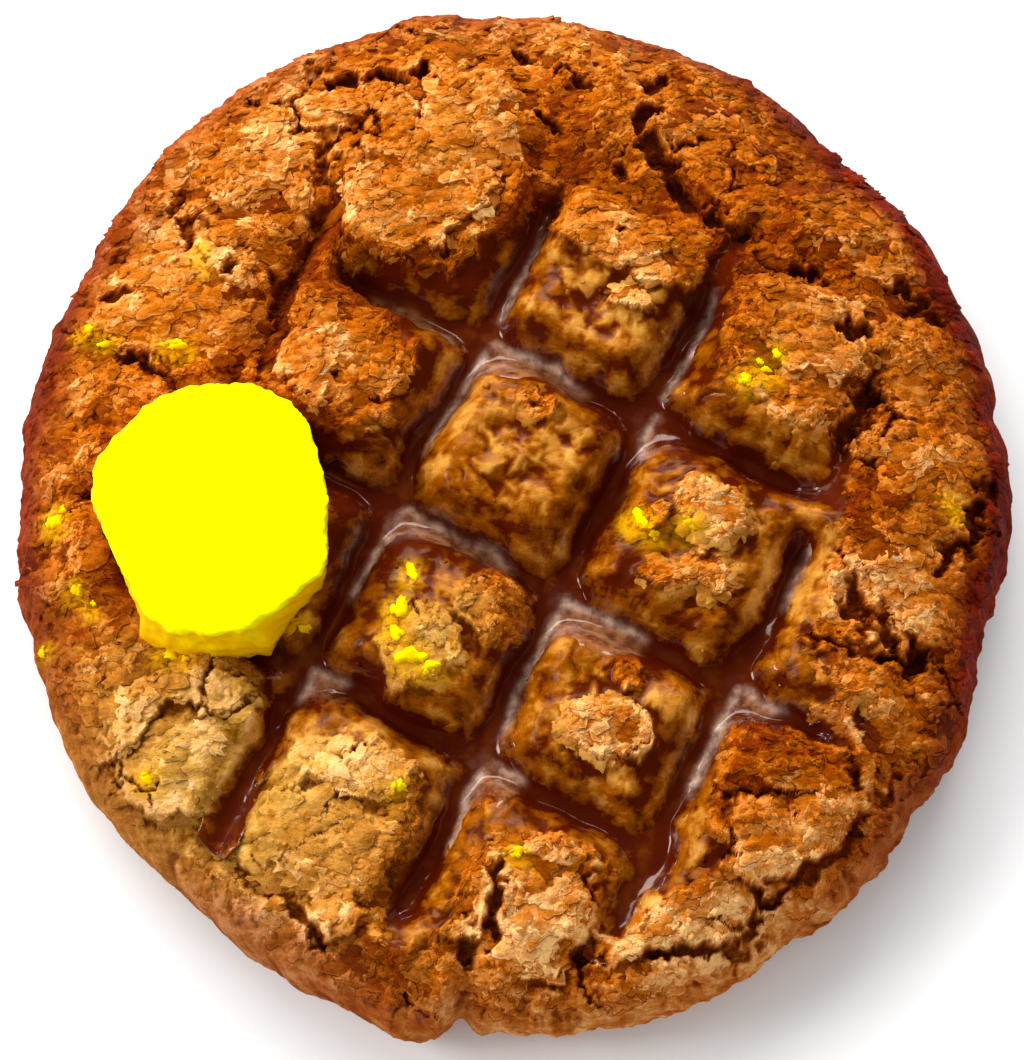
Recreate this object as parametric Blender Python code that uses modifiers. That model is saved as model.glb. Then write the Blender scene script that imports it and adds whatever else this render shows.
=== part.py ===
"""A round cookie pressed with a waffle grid, with syrup in its grooves and a pat of butter.

Metres, +Z up. The cookie's flat base lies on Z = 0 and the origin is under the middle of its outline.
"""

from math import cos, pi, radians, sin

import bmesh
import bpy
import numpy as np
from mathutils import Matrix, noise

MM = 0.001

# Cookie body: the turned blank, before the press marks it
WIDTH_X = 109.0 * MM
WIDTH_Y = 115.0 * MM
CROWN_HEIGHT = 17.2 * MM
BULGE_HEIGHT = 5.5 * MM
BASE_INSET = 4.5 * MM
CROWN_FULLNESS = 4.6
CURVE_SAMPLES = 400
BLANK_STEPS = 264
BLANK_SPACING = 1.05 * MM
COOKIE_TRIANGLES = 9400
# Parts of the way out where the top's relief starts to fade, and where it is gone
RELIEF_FADE = (0.93, 1.0)
# The same for the bumps' own heights
BUMP_FADE = (0.62, 0.80)
# The same, inward, for the crags of the rim
RIM_FADE = (0.86, 1.0)

# The outline's wobble: (waves round the rim, amplitude, phase in degrees)
OUTLINE_WAVES = ((3, 0.45 * MM, 20.0), (5, 0.35 * MM, 75.0), (9, 0.25 * MM, 10.0))
# Single bulges and dents of the outline: (direction in degrees, half width in degrees, depth)
OUTLINE_MARKS = (
    (112.0, 17.0, 1.6 * MM),
    (262.0, 4.0, 1.4 * MM),
    (34.0, 5.0, 0.9 * MM),
    (343.0, 7.0, -1.2 * MM),
    (264.5, 1.6, -2.4 * MM),
    (257.0, 3.0, 1.1 * MM),
    (322.0, 3.5, -1.2 * MM),
    (301.0, 3.0, -1.0 * MM),
)
RIM_CRAG = 0.55 * MM
RIM_CRAG_SIZE = 3.6 * MM

# The press: two sets of bars at right angles, turned on the cookie
PRESS_TURN = radians(-26.7)
GROOVE_FLOOR_Z = 10.6 * MM
GROOVE_FLOOR_WIDTH = 2.6 * MM
GROOVE_SHOULDER_WIDTH = 11.6 * MM
GROOVE_WALL_CURVE = 1.7
GROOVE_FADE = 6.0 * MM
# Each bar's mark: (offset, drift along the bar, start, end, strength)
BARS_ALONG_V = (
    (-32.0 * MM, 0.02, -34.0 * MM, 22.0 * MM, 0.42),
    (-10.8 * MM, 0.0, -51.0 * MM, 35.0 * MM, 1.0),
    (9.7 * MM, -0.012, -50.0 * MM, 32.0 * MM, 1.0),
    (30.6 * MM, 0.0, -42.0 * MM, 12.0 * MM, 1.0),
    (49.5 * MM, 0.0, -26.0 * MM, 2.0 * MM, 0.35),
)
BARS_ALONG_U = (
    (34.5 * MM, 0.0, -20.0 * MM, 6.0 * MM, 0.22),
    (13.8 * MM, 0.015, -30.0 * MM, 33.0 * MM, 1.0),
    (-7.7 * MM, -0.045, -34.0 * MM, 46.0 * MM, 1.0),
    (-27.9 * MM, -0.02, -34.0 * MM, 36.0 * MM, 1.0),
    (-49.5 * MM, 0.0, -16.0 * MM, 6.0 * MM, 0.5),
)

# Each bump between the bars has a height and a tilt of its own
PRESS_PITCH = 20.8 * MM
BUMP_LIFT = 0.7 * MM
BUMP_TILT = 0.055
BUMP_SEED = 7

# Crust plates that stand proud: (x, y, half length, half width, turn in degrees, lift)
PLATES = (
    (-9.0 * MM, 35.0 * MM, 10.5 * MM, 9.0 * MM, 20.0, 1.3 * MM),
    (30.0 * MM, 14.0 * MM, 9.0 * MM, 7.5 * MM, 65.0, 1.4 * MM),
    (-37.0 * MM, 21.0 * MM, 8.5 * MM, 6.0 * MM, 15.0, 1.0 * MM),
    (-20.0 * MM, 15.0 * MM, 7.5 * MM, 5.0 * MM, 60.0, 0.6 * MM),
    (29.0 * MM, -33.0 * MM, 9.5 * MM, 7.5 * MM, 40.0, 1.2 * MM),
    (-34.0 * MM, -28.0 * MM, 8.0 * MM, 7.5 * MM, 0.0, 1.1 * MM),
    (-20.5 * MM, -38.5 * MM, 9.0 * MM, 5.0 * MM, -8.0, 0.7 * MM),
    (3.0 * MM, -44.0 * MM, 6.5 * MM, 5.5 * MM, 15.0, 0.9 * MM),
    (44.0 * MM, -7.0 * MM, 12.0 * MM, 4.5 * MM, 75.0, 0.9 * MM),
    (40.5 * MM, 28.0 * MM, 8.0 * MM, 4.5 * MM, -40.0, 0.9 * MM),
    (11.5 * MM, 27.5 * MM, 6.5 * MM, 5.0 * MM, 25.0, 0.5 * MM),
    (10.5 * MM, -23.5 * MM, 4.5 * MM, 5.5 * MM, 60.0, 0.7 * MM),
    (21.0 * MM, -5.0 * MM, 5.5 * MM, 5.0 * MM, 20.0, 0.6 * MM),
)
PLATE_EDGE = 0.16

# Cracks in the crust: (half width, depth, points in millimetres)
CRACKS = (
    (1.8, 3.4, ((14.9, 43.0), (16.2, 38.3), (19.2, 33.6), (25.1, 27.8), (31.1, 25.2), (34.5, 23.4))),
    (1.2, 1.8, ((1.7, 48.9), (7.2, 45.4), (14.9, 43.0))),
    (1.3, 2.0, ((-24.6, 40.0), (-24.5, 33.6), (-29.0, 31.8), (-34.0, 31.0))),
    (1.3, 2.1, ((-35.9, 33.0), (-35.7, 28.3), (-32.8, 27.2), (-30.5, 24.1))),
    (1.2, 1.8, ((-41.9, 14.9), (-38.4, 12.3), (-35.6, 11.0))),
    (1.4, 2.4, ((-1.6, 31.8), (-6.0, 28.3), (-9.3, 25.2), (-15.8, 22.6))),
    (1.3, 2.0, ((-24.1, -32.1), (-19.3, -33.1), (-12.0, -34.5))),
    (1.4, 2.4, ((-45.0, -31.5), (-40.4, -27.8), (-37.4, -24.1), (-31.5, -25.7), (-26.7, -22.4))),
    (1.4, 2.2, ((-27.5, -43.1), (-23.3, -43.6), (-19.6, -49.6))),
    (1.3, 2.0, ((-1.6, -39.4), (0.0, -42.0), (-2.4, -45.2), (-3.8, -48.8), (-8.8, -50.0))),
    (1.3, 2.0, ((12.9, -51.4), (17.0, -49.3), (21.7, -48.8))),
    (1.5, 2.6, ((36.4, -28.3), (38.0, -37.9), (34.8, -40.0), (29.5, -43.1), (25.5, -47.8))),
    (1.7, 3.2, ((38.8, -18.1), (43.8, -19.3))),
    (1.3, 2.0, ((40.0, 12.9), (37.3, 5.9), (34.6, 1.6))),
    (1.3, 2.2, ((36.4, 18.4), (38.9, 16.3))),
    (1.3, 2.2, ((48.2, 0.5), (49.0, -8.3))),
    (1.5, 2.8, ((-16.5, 47.0), (-10.5, 47.7))),
)

# Fine crust relief
PLATELET_SIZE = 6.2 * MM
PLATELET_LIFT = 0.75 * MM
PLATELET_EDGE = 0.3
CRUST_ROUGHNESS = 0.4 * MM
CRUST_GRAIN = 2.6 * MM
CRUST_SWELL = 0.5 * MM
CRUST_SWELL_SIZE = 19.0 * MM

# Flakes of butter that stuck to the crust: (x, y, half width, half height) in millimetres
FLAKES = (
    (-33.5, 25.7, 1.1, 1.6),
    (-36.3, 15.1, 1.7, 0.9),
    (-49.1, -3.7, 1.1, 1.1),
    (-35.4, -19.6, 1.3, 0.9),
    (27.5, 12.0, 1.3, 1.3),
    (19.4, -5.3, 1.1, 0.9),
    (13.7, -4.5, 1.2, 1.4),
    (-11.7, -15.4, 1.0, 1.6),
    (-10.6, -19.7, 1.6, 1.3),
)
FLAKE_LIFT = 0.7 * MM

# Syrup, level in the deep grooves: (bar set, index of the bar, start, end)
SYRUP_LEVEL_Z = 12.9 * MM
SYRUP_FLOOR_GAP = 0.45 * MM
SYRUP_TOP_WIDTH = 3.5 * MM
SYRUP_FLOOR_WIDTH = 1.7 * MM
SYRUP_END_TAPER = 2.0 * MM
SYRUP_TIP_NARROWING = 0.45
SYRUP_SHOULDER = 0.4
SYRUP_RUNS = (
    ("v", 1, -43.0 * MM, 27.0 * MM),
    ("v", 2, -42.0 * MM, 24.0 * MM),
    ("v", 3, -33.0 * MM, 4.0 * MM),
    ("u", 1, -22.0 * MM, 23.0 * MM),
    ("u", 2, -25.0 * MM, 37.0 * MM),
    ("u", 3, -25.0 * MM, 28.0 * MM),
)

# Butter pat: a cut disc, broader at the base, tipped a little toward -Y
BUTTER_X = -31.6 * MM
BUTTER_Y = -3.6 * MM
BUTTER_RADIUS = 12.5 * MM
BUTTER_FLARE = 0.7 * MM
BUTTER_TOP_Z = 23.0 * MM
BUTTER_THICKNESS = 6.0 * MM
BUTTER_EDGE = 0.9 * MM
BUTTER_TIP = radians(7.0)
BUTTER_ROLL = radians(4.0)
BUTTER_HOLLOW_KEPT = 0.35
BUTTER_GAP = 0.7 * MM
BUTTER_STEPS = 40
# Its uneven outline: (waves, amplitude, phase in degrees)
BUTTER_WAVES = ((2, 0.35 * MM, 100.0), (3, 0.3 * MM, 40.0), (7, 0.22 * MM, 15.0))


def clear_scene():
    """Remove whatever the file holds before the model is built."""
    for thing in list(bpy.data.objects):
        bpy.data.objects.remove(thing, do_unlink=True)
    for group in list(bpy.data.collections):
        bpy.data.collections.remove(group)


def new_collection(name):
    """Make a collection in the scene."""
    group = bpy.data.collections.new(name)
    bpy.context.scene.collection.children.link(group)
    return group


def material(name, colour, roughness, coat=0.0):
    """Make a plain Principled material."""
    surface = bpy.data.materials.new(name)
    surface.use_nodes = True
    shader = surface.node_tree.nodes["Principled BSDF"]
    shader.inputs["Base Color"].default_value = (*colour, 1.0)
    shader.inputs["Roughness"].default_value = roughness
    shader.inputs["Metallic"].default_value = 0.0
    shader.inputs["Coat Weight"].default_value = coat
    return surface


def smooth_step(low, high, value):
    """Rise from 0 at low to 1 at high with flat ends."""
    part = np.clip((value - low) / (high - low), 0.0, 1.0)
    return part * part * (3.0 - 2.0 * part)


def noise_field(x, y, z, size, octaves=2):
    """Fractal noise, about -1 to 1, at each point, for features of a size."""
    return np.array([
        noise.fractal((a / size, b / size, c / size), 0.7, 2.0, octaves) for a, b, c in zip(x, y, z)
    ])


def outline_radius(angle):
    """Distance from the middle to the rim's widest line in each direction."""
    half_x, half_y = WIDTH_X / 2, WIDTH_Y / 2
    radius = half_x * half_y / np.hypot(half_y * np.cos(angle), half_x * np.sin(angle))
    for waves, amplitude, phase in OUTLINE_WAVES:
        radius = radius + amplitude * np.cos(waves * (angle - radians(phase)))
    for direction, half_width, depth in OUTLINE_MARKS:
        away = (angle - radians(direction) + pi) % (2 * pi) - pi
        radius = radius + depth * np.exp(-(away / radians(half_width)) ** 2)
    return radius


def press_frame(x, y):
    """Coordinates in the press's own directions."""
    return x * cos(PRESS_TURN) + y * sin(PRESS_TURN), -x * sin(PRESS_TURN) + y * cos(PRESS_TURN)


def press_mask(x, y):
    """How far the press has sunk the crust: 0 untouched, 1 down to the groove floor."""
    u, v = press_frame(x, y)
    mask = np.zeros_like(x)
    for across, along, bars in ((u, v, BARS_ALONG_V), (v, u, BARS_ALONG_U)):
        for offset, drift, start, end, strength in bars:
            distance = np.abs(across - offset - drift * along)
            climb = (GROOVE_SHOULDER_WIDTH / 2 - distance) / ((GROOVE_SHOULDER_WIDTH - GROOVE_FLOOR_WIDTH) / 2)
            wall = np.clip(climb, 0.0, 1.0) ** GROOVE_WALL_CURVE
            run = smooth_step(start, start + GROOVE_FADE, along)
            run = run * (1.0 - smooth_step(end - GROOVE_FADE, end, along))
            mask = np.maximum(mask, strength * wall * run)
    return mask


def bump_lift(x, y):
    """A height and a tilt for each square between the bars."""
    u, v = press_frame(x, y)
    first_u, first_v = BARS_ALONG_V[0][0], BARS_ALONG_U[-1][0]
    column = np.floor((u - first_u) / PRESS_PITCH)
    row = np.floor((v - first_v) / PRESS_PITCH)
    draw = np.random.default_rng(BUMP_SEED)
    lift = np.zeros_like(x)
    for i in range(-2, 6):
        for j in range(-2, 6):
            height, tilt_u, tilt_v = draw.uniform(-1.0, 1.0, 3)
            here = (column == i) & (row == j)
            mid_u = first_u + (i + 0.5) * PRESS_PITCH
            mid_v = first_v + (j + 0.5) * PRESS_PITCH
            tilt = BUMP_TILT * (tilt_u * (u - mid_u) + tilt_v * (v - mid_v))
            lift = np.where(here, height * BUMP_LIFT + tilt, lift)
    inner = 1.0 - smooth_step(*BUMP_FADE, np.hypot(x / (WIDTH_X / 2), y / (WIDTH_Y / 2)))
    return lift * inner


def plate_lift(x, y):
    """Steep-edged plates of crust that stand above the rest."""
    lift = np.zeros_like(x)
    for mid_x, mid_y, length, width, turn, height in PLATES:
        away_x, away_y = x - mid_x, y - mid_y
        along = (away_x * cos(radians(turn)) + away_y * sin(radians(turn))) / length
        across = (-away_x * sin(radians(turn)) + away_y * cos(radians(turn))) / width
        reach = (np.abs(along) ** 3 + np.abs(across) ** 3) ** (1 / 3)
        lift = np.maximum(lift, height * (1.0 - smooth_step(1.0 - PLATE_EDGE, 1.0 + PLATE_EDGE, reach)))
    return lift


def distance_to_line(x, y, points):
    """Distance from each place to a chain of straight segments."""
    nearest = np.full_like(x, np.inf)
    for (ax, ay), (bx, by) in zip(points, points[1:]):
        run_x, run_y = (bx - ax) * MM, (by - ay) * MM
        part = ((x - ax * MM) * run_x + (y - ay * MM) * run_y) / (run_x ** 2 + run_y ** 2)
        part = np.clip(part, 0.0, 1.0)
        nearest = np.minimum(nearest, np.hypot(x - ax * MM - part * run_x, y - ay * MM - part * run_y))
    return nearest


def crack_depth(x, y):
    """Depth of the cracks at each place."""
    depth = np.zeros_like(x)
    for half_width, deepest, points in CRACKS:
        away = distance_to_line(x, y, points) / (half_width * MM)
        depth = np.maximum(depth, deepest * MM * np.clip(1.0 - away, 0.0, 1.0))
    return depth


def platelet_lift(x, y):
    """Small flakes of crust, each a low dome at its own level, as a crackled surface has."""
    lift = np.zeros_like(x)
    for index, (a, b) in enumerate(zip(x, y)):
        distances, cells = noise.voronoi((a / PLATELET_SIZE, b / PLATELET_SIZE, 0.5))
        inside = min((distances[1] - distances[0]) / PLATELET_EDGE, 1.0)
        lift[index] = inside * (0.4 + noise.cell(cells[0] * 7.3))
    return PLATELET_LIFT * lift


def flake_lift(x, y):
    """Low lumps where flakes of butter lie on the crust."""
    lift = np.zeros_like(x)
    for mid_x, mid_y, half_width, half_height in FLAKES:
        away = np.hypot((x - mid_x * MM) / (half_width * MM), (y - mid_y * MM) / (half_height * MM))
        lift = np.maximum(lift, FLAKE_LIFT * (1.0 - smooth_step(0.7, 1.3, away)))
    return lift


def crust_relief(x, y, crown):
    """Height of the finished crust over a place where the blank is at crown."""
    flat = np.zeros_like(x)
    crust = crown + bump_lift(x, y) + plate_lift(x, y) + platelet_lift(x, y)
    crust = crust + CRUST_SWELL * noise_field(x, y, flat, CRUST_SWELL_SIZE)
    crust = crust + CRUST_ROUGHNESS * noise_field(x, y, flat, CRUST_GRAIN)
    sunk = press_mask(x, y)
    crust = crust + sunk * (np.minimum(GROOVE_FLOOR_Z, crust) - crust)
    untouched = (1.0 - sunk) ** 2
    return crust + untouched * (flake_lift(x, y) - crack_depth(x, y))


def crown_height(reach):
    """Height of the blank's top at a part of the way from the middle to the rim."""
    fall = np.clip(1.0 - np.abs(reach) ** CROWN_FULLNESS, 0.0, 1.0) ** 0.5
    return BULGE_HEIGHT + (CROWN_HEIGHT - BULGE_HEIGHT) * fall


def blank_profile():
    """Points (radius, height) down the blank's outer side, from the top middle to the base middle."""
    radius = WIDTH_X / 2
    reach = np.sin(np.linspace(0.0, pi / 2, CURVE_SAMPLES))
    turn = np.linspace(0.0, pi / 2, CURVE_SAMPLES)[1:]
    out = np.concatenate((radius * reach, radius - BASE_INSET * (1.0 - np.cos(turn))))
    high = np.concatenate((crown_height(reach), BULGE_HEIGHT * (1.0 - np.sin(turn))))
    walked = np.concatenate(((0.0,), np.cumsum(np.hypot(np.diff(out), np.diff(high)))))
    stops = np.linspace(0.0, walked[-1], round(walked[-1] / BLANK_SPACING) + 1)
    rings = list(zip(np.interp(stops, walked, out), np.interp(stops, walked, high)))
    return rings + [(0.0, 0.0)]


def turned_blank(name, profile, steps):
    """Turn a profile about Z with a Screw modifier and give the finished mesh."""
    edges = [(i, i + 1) for i in range(len(profile) - 1)]
    mesh = bpy.data.meshes.new(name)
    mesh.from_pydata([(r, 0.0, z) for r, z in profile], edges, [])
    body = bpy.data.objects.new(name, mesh)
    bpy.context.scene.collection.objects.link(body)
    screw = body.modifiers.new("Turn", "SCREW")
    screw.steps = steps
    screw.render_steps = steps
    screw.use_merge_vertices = True
    screw.merge_threshold = 0.00001
    depsgraph = bpy.context.evaluated_depsgraph_get()
    turned = bpy.data.meshes.new_from_object(body.evaluated_get(depsgraph))
    bpy.data.objects.remove(body, do_unlink=True)
    bpy.data.meshes.remove(mesh)
    return turned


def mesh_points(mesh):
    """A mesh's vertices as an array."""
    points = np.empty(len(mesh.vertices) * 3)
    mesh.vertices.foreach_get("co", points)
    return points.reshape(-1, 3)


def set_mesh_points(mesh, points):
    """Move a mesh's vertices to new places."""
    mesh.vertices.foreach_set("co", points.ravel())
    mesh.update()


def place(name, mesh, surface, group):
    """Put a finished mesh in the model as a named object."""
    mesh.name = name
    mesh.materials.clear()
    mesh.materials.append(surface)
    mesh.shade_smooth()
    mesh.set_sharp_from_angle(angle=radians(40.0))
    body = bpy.data.objects.new(name, mesh)
    group.objects.link(body)
    return body


def cookie_mesh():
    """The blank, drawn out to its real outline and marked by the press, cracks and flakes."""
    mesh = turned_blank("cookie", blank_profile(), BLANK_STEPS)
    points = mesh_points(mesh)
    angle = np.arctan2(points[:, 1], points[:, 0])
    reach = np.hypot(points[:, 0], points[:, 1]) / (WIDTH_X / 2)
    height = points[:, 2]
    side = smooth_step(*RIM_FADE, reach) * smooth_step(0.0, BULGE_HEIGHT / 2, height)
    rim = outline_radius(angle)
    x, y = reach * rim * np.cos(angle), reach * rim * np.sin(angle)
    crag = RIM_CRAG * side * noise_field(x, y, height, RIM_CRAG_SIZE)
    x, y = x + crag * np.cos(angle), y + crag * np.sin(angle)
    on_top = height > BULGE_HEIGHT
    marked = crust_relief(x, y, height)
    share = 1.0 - smooth_step(*RELIEF_FADE, reach)
    height = np.where(on_top, height + share * (marked - height), height)
    set_mesh_points(mesh, np.column_stack((x, y, np.maximum(height, 0.0))))
    return mesh


def crust_height(x, y):
    """Height of the finished crust at a place well inside the rim."""
    reach = np.hypot(x, y) / outline_radius(np.arctan2(y, x))
    return crust_relief(x, y, crown_height(reach))


def syrup_bar(offset, drift, start, end, along_v):
    """One straight run of syrup with sloping sides and narrow tips, to be joined with the others."""
    mesh = bpy.data.meshes.new("syrup_bar")
    shape = bmesh.new()
    bmesh.ops.create_cube(shape, size=1.0)
    for shoulder in (-SYRUP_SHOULDER, SYRUP_SHOULDER):
        geometry = shape.verts[:] + shape.edges[:] + shape.faces[:]
        bmesh.ops.bisect_plane(shape, geom=geometry, plane_co=(shoulder, 0.0, 0.0), plane_no=(1.0, 0.0, 0.0))
    for vert in shape.verts:
        top = vert.co.z > 0.0
        tip = abs(vert.co.x) > 0.49
        width = (SYRUP_TOP_WIDTH if top else SYRUP_FLOOR_WIDTH) * (SYRUP_TIP_NARROWING if tip else 1.0)
        inward = 0.0 if tip and top else SYRUP_END_TAPER if tip else 2.0 * SYRUP_END_TAPER
        along = end - inward if vert.co.x > 0.0 else start + inward
        across = offset + drift * along + np.sign(vert.co.y) * width / 2
        level = SYRUP_LEVEL_Z if top else GROOVE_FLOOR_Z + SYRUP_FLOOR_GAP
        vert.co = (across, along, level) if along_v else (along, across, level)
    bmesh.ops.recalc_face_normals(shape, faces=shape.faces)
    bmesh.ops.transform(shape, matrix=Matrix.Rotation(PRESS_TURN, 4, "Z"), verts=shape.verts)
    shape.to_mesh(mesh)
    shape.free()
    return mesh


def syrup_mesh(guides):
    """All runs of syrup joined into one level pool."""
    bars = []
    for bar_set, index, start, end in SYRUP_RUNS:
        along_v = bar_set == "v"
        offset, drift = (BARS_ALONG_V if along_v else BARS_ALONG_U)[index][:2]
        bar = bpy.data.objects.new("syrup_bar", syrup_bar(offset, drift, start, end, along_v))
        bar.hide_render = True
        bar.display_type = "WIRE"
        bars.append(bar)
    pool, rest = bars[0], bars[1:]
    bpy.context.scene.collection.objects.link(pool)
    for bar in rest:
        guides.objects.link(bar)
    join = pool.modifiers.new("Join", "BOOLEAN")
    join.operation = "UNION"
    join.operand_type = "COLLECTION"
    join.collection = guides
    depsgraph = bpy.context.evaluated_depsgraph_get()
    mesh = bpy.data.meshes.new_from_object(pool.evaluated_get(depsgraph))
    for bar in bars:
        bpy.data.objects.remove(bar, do_unlink=True)
    return mesh


def butter_profile():
    """Points (radius, height) of the pat, from the top middle down to the base middle."""
    top_rings = [(BUTTER_RADIUS * part, 0.0) for part in (0.0, 0.3, 0.6, 0.82)]
    corner = [
        (BUTTER_RADIUS - BUTTER_EDGE * (1.0 - sin(turn)), -BUTTER_EDGE * (1.0 - cos(turn)))
        for turn in np.linspace(0.0, pi / 2, 4)
    ]
    base_radius = BUTTER_RADIUS + BUTTER_FLARE
    side = [(base_radius, 0.5 * MM - BUTTER_THICKNESS), (base_radius - 0.6 * MM, -BUTTER_THICKNESS)]
    base_rings = [(base_radius * part, -BUTTER_THICKNESS) for part in (0.86, 0.76, 0.66, 0.56, 0.45, 0.3, 0.15, 0.0)]
    return top_rings + corner + side + base_rings


def butter_mesh():
    """The pat, uneven round its edge, tipped, and sagged onto the crust below it."""
    mesh = turned_blank("butter_pat", butter_profile(), BUTTER_STEPS)
    points = mesh_points(mesh)
    angle = np.arctan2(points[:, 1], points[:, 0])
    reach = np.hypot(points[:, 0], points[:, 1]) / BUTTER_RADIUS
    stretch = np.ones_like(angle)
    for waves, amplitude, phase in BUTTER_WAVES:
        stretch = stretch + amplitude / BUTTER_RADIUS * np.cos(waves * (angle - radians(phase)))
    x, y = points[:, 0] * stretch, points[:, 1] * stretch
    underside = points[:, 2] < -BUTTER_THICKNESS + 1.0 * MM
    dish = 0.35 * MM * noise_field(x, y, points[:, 2], 7.0 * MM) * np.minimum(reach, 1.0)
    tipped = BUTTER_TOP_Z + points[:, 2] + y * sin(BUTTER_TIP) + x * sin(BUTTER_ROLL) + dish
    x, y = x + BUTTER_X, y + BUTTER_Y
    rest = np.maximum(crust_height(x, y), SYRUP_LEVEL_Z) + BUTTER_GAP
    sagged = rest + BUTTER_HOLLOW_KEPT * np.maximum(tipped - rest, 0.0)
    height = np.where(underside, sagged, tipped)
    set_mesh_points(mesh, np.column_stack((x, y, height)))
    return mesh


def centre_outline(bodies):
    """Move the bodies so that the middle of the cookie's outline is over the origin."""
    points = mesh_points(bodies[0].data)
    middle = (points.min(axis=0) + points.max(axis=0)) / 2
    for body in bodies:
        moved = mesh_points(body.data)
        moved[:, :2] -= middle[:2]
        set_mesh_points(body.data, moved)


def main():
    """Build the cookie, its syrup and its butter."""
    clear_scene()
    model = new_collection("waffle_pressed_cookie")
    guides = new_collection("cutters")
    baked = material("baked_cookie", (0.43, 0.17, 0.036), 0.75)
    syrup = material("syrup", (0.09, 0.022, 0.003), 0.08, coat=1.0)
    butter = material("butter", (0.95, 0.83, 0.02), 0.45)
    cookie = place("cookie", cookie_mesh(), baked, model)
    thin = cookie.modifiers.new("Fewer faces", "DECIMATE")
    whole = sum(len(face.vertices) - 2 for face in cookie.data.polygons)
    thin.ratio = COOKIE_TRIANGLES / whole
    pool = place("syrup", syrup_mesh(guides), syrup, model)
    pat = place("butter_pat", butter_mesh(), butter, model)
    centre_outline((cookie, pool, pat))


main()
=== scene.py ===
"""The looks of a round cookie pressed with a square grid, with syrup in its grooves and a pat of butter."""

from math import cos, pi, radians, sin

import bpy
import numpy as np
from bpy.props import FloatProperty, FloatVectorProperty, IntProperty, PointerProperty
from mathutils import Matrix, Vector


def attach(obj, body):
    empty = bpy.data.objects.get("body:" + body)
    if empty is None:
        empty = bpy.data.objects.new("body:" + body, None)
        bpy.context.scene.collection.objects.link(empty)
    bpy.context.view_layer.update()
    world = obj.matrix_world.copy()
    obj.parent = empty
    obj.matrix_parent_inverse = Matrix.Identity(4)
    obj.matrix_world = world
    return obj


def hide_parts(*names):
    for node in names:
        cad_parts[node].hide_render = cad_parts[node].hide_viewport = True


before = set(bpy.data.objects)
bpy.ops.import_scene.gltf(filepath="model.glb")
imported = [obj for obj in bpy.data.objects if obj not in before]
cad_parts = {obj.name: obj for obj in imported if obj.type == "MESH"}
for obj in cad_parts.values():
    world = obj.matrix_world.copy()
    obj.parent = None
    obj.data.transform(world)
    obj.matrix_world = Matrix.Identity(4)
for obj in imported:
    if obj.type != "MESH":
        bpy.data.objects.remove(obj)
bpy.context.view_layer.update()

bl_info = {
    "name": "Waffle-pressed cookie",
    "version": (1, 0, 0),
    "blender": (4, 5, 0),
    "location": "3D View > Sidebar > Cookie",
    "description": "Builds a pressed cookie with syrup and butter over its solids",
    "category": "Object",
}

MM = 0.001


def shade(red, green, blue):
    """A colour read as 8-bit values on screen, as the linear values that a shader takes."""
    parts = np.array((red, green, blue)) / 255.0
    return tuple(np.where(parts <= 0.04045, parts / 12.92, ((parts + 0.055) / 1.055) ** 2.4))


# Body: the turned blank, before the press marks it
WIDTH_X = 109.0 * MM
WIDTH_Y = 115.0 * MM
CROWN_HEIGHT = 17.2 * MM
BULGE_HEIGHT = 5.5 * MM
BASE_INSET = 4.5 * MM
CROWN_FULLNESS = 4.6
# Waves all round the outline: (waves, height, direction of the first in degrees)
OUTLINE_WAVES = ((3, 0.45 * MM, 20.0), (5, 0.35 * MM, 75.0), (9, 0.25 * MM, 10.0))
# Swells and notches of the outline: (direction and half width in degrees, outward)
OUTLINE_MARKS = (
    (112, 17, 1.6 * MM), (262, 4, 1.4 * MM), (34, 5, 0.9 * MM), (343, 7, -1.2 * MM), (264.5, 1.6, -2.4 * MM),
    (257, 3, 1.1 * MM), (322, 3.5, -1.2 * MM), (301, 3, -1 * MM), (100, 4, 1.2 * MM), (47, 8, -1.1 * MM),
    (10, 4, -1 * MM), (190, 5, 1.2 * MM), (152, 12, -0.7 * MM), (232, 12, -0.7 * MM), (318, 20, 1.1 * MM),
)

# Crags round the rim, where they start and the top's relief ends, and the body's cells from side to side
CRAG_DEPTH = 0.5 * MM
CRAG_SIZE = 3.4 * MM
CRAG_FROM = (0.86, 1.0)
RELIEF_FADE = (0.955, 1.0)
CRUST_CELLS = 620

# The press: two sets of bars at right angles, turned on the cookie
PRESS_TURN = radians(-26.7)
GROOVE_FLOOR_Z = 10.6 * MM
GROOVE_FLOOR_WIDTH = 0.6 * MM
GROOVE_SHOULDER_WIDTH = 11.6 * MM
GROOVE_WALL_CURVE = 3.2
GROOVE_CROSSING = 0.7
GROOVE_FADE = 6.0 * MM
# How far short of a bar's ends the syrup stops, and how the groove's floor waves
GROOVE_SHORT = 2.0 * MM
FLOOR_WAVE = 0.15 * MM
FLOOR_WAVE_SIZE = 3.0 * MM
# Each bar's mark: (offset, drift along the bar, start, end, strength)
BARS_ALONG_V = (
    (-32.0 * MM, 0.02, -34.0 * MM, 22.0 * MM, 0.42),
    (-10.8 * MM, 0.0, -51.0 * MM, 35.0 * MM, 1.0),
    (9.7 * MM, -0.012, -50.0 * MM, 32.0 * MM, 1.0),
    (30.6 * MM, 0.0, -42.0 * MM, 12.0 * MM, 1.0),
    (49.5 * MM, 0.0, -26.0 * MM, 2.0 * MM, 0.35),
)
BARS_ALONG_U = (
    (34.5 * MM, 0.0, -20.0 * MM, 6.0 * MM, 0.22),
    (13.8 * MM, 0.015, -30.0 * MM, 33.0 * MM, 1.0),
    (-7.7 * MM, -0.045, -34.0 * MM, 46.0 * MM, 1.0),
    (-27.9 * MM, -0.02, -34.0 * MM, 36.0 * MM, 1.0),
    (-49.5 * MM, 0.0, -16.0 * MM, 6.0 * MM, 0.5),
)
CROSSING_ROUND = 1.5 * MM
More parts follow.
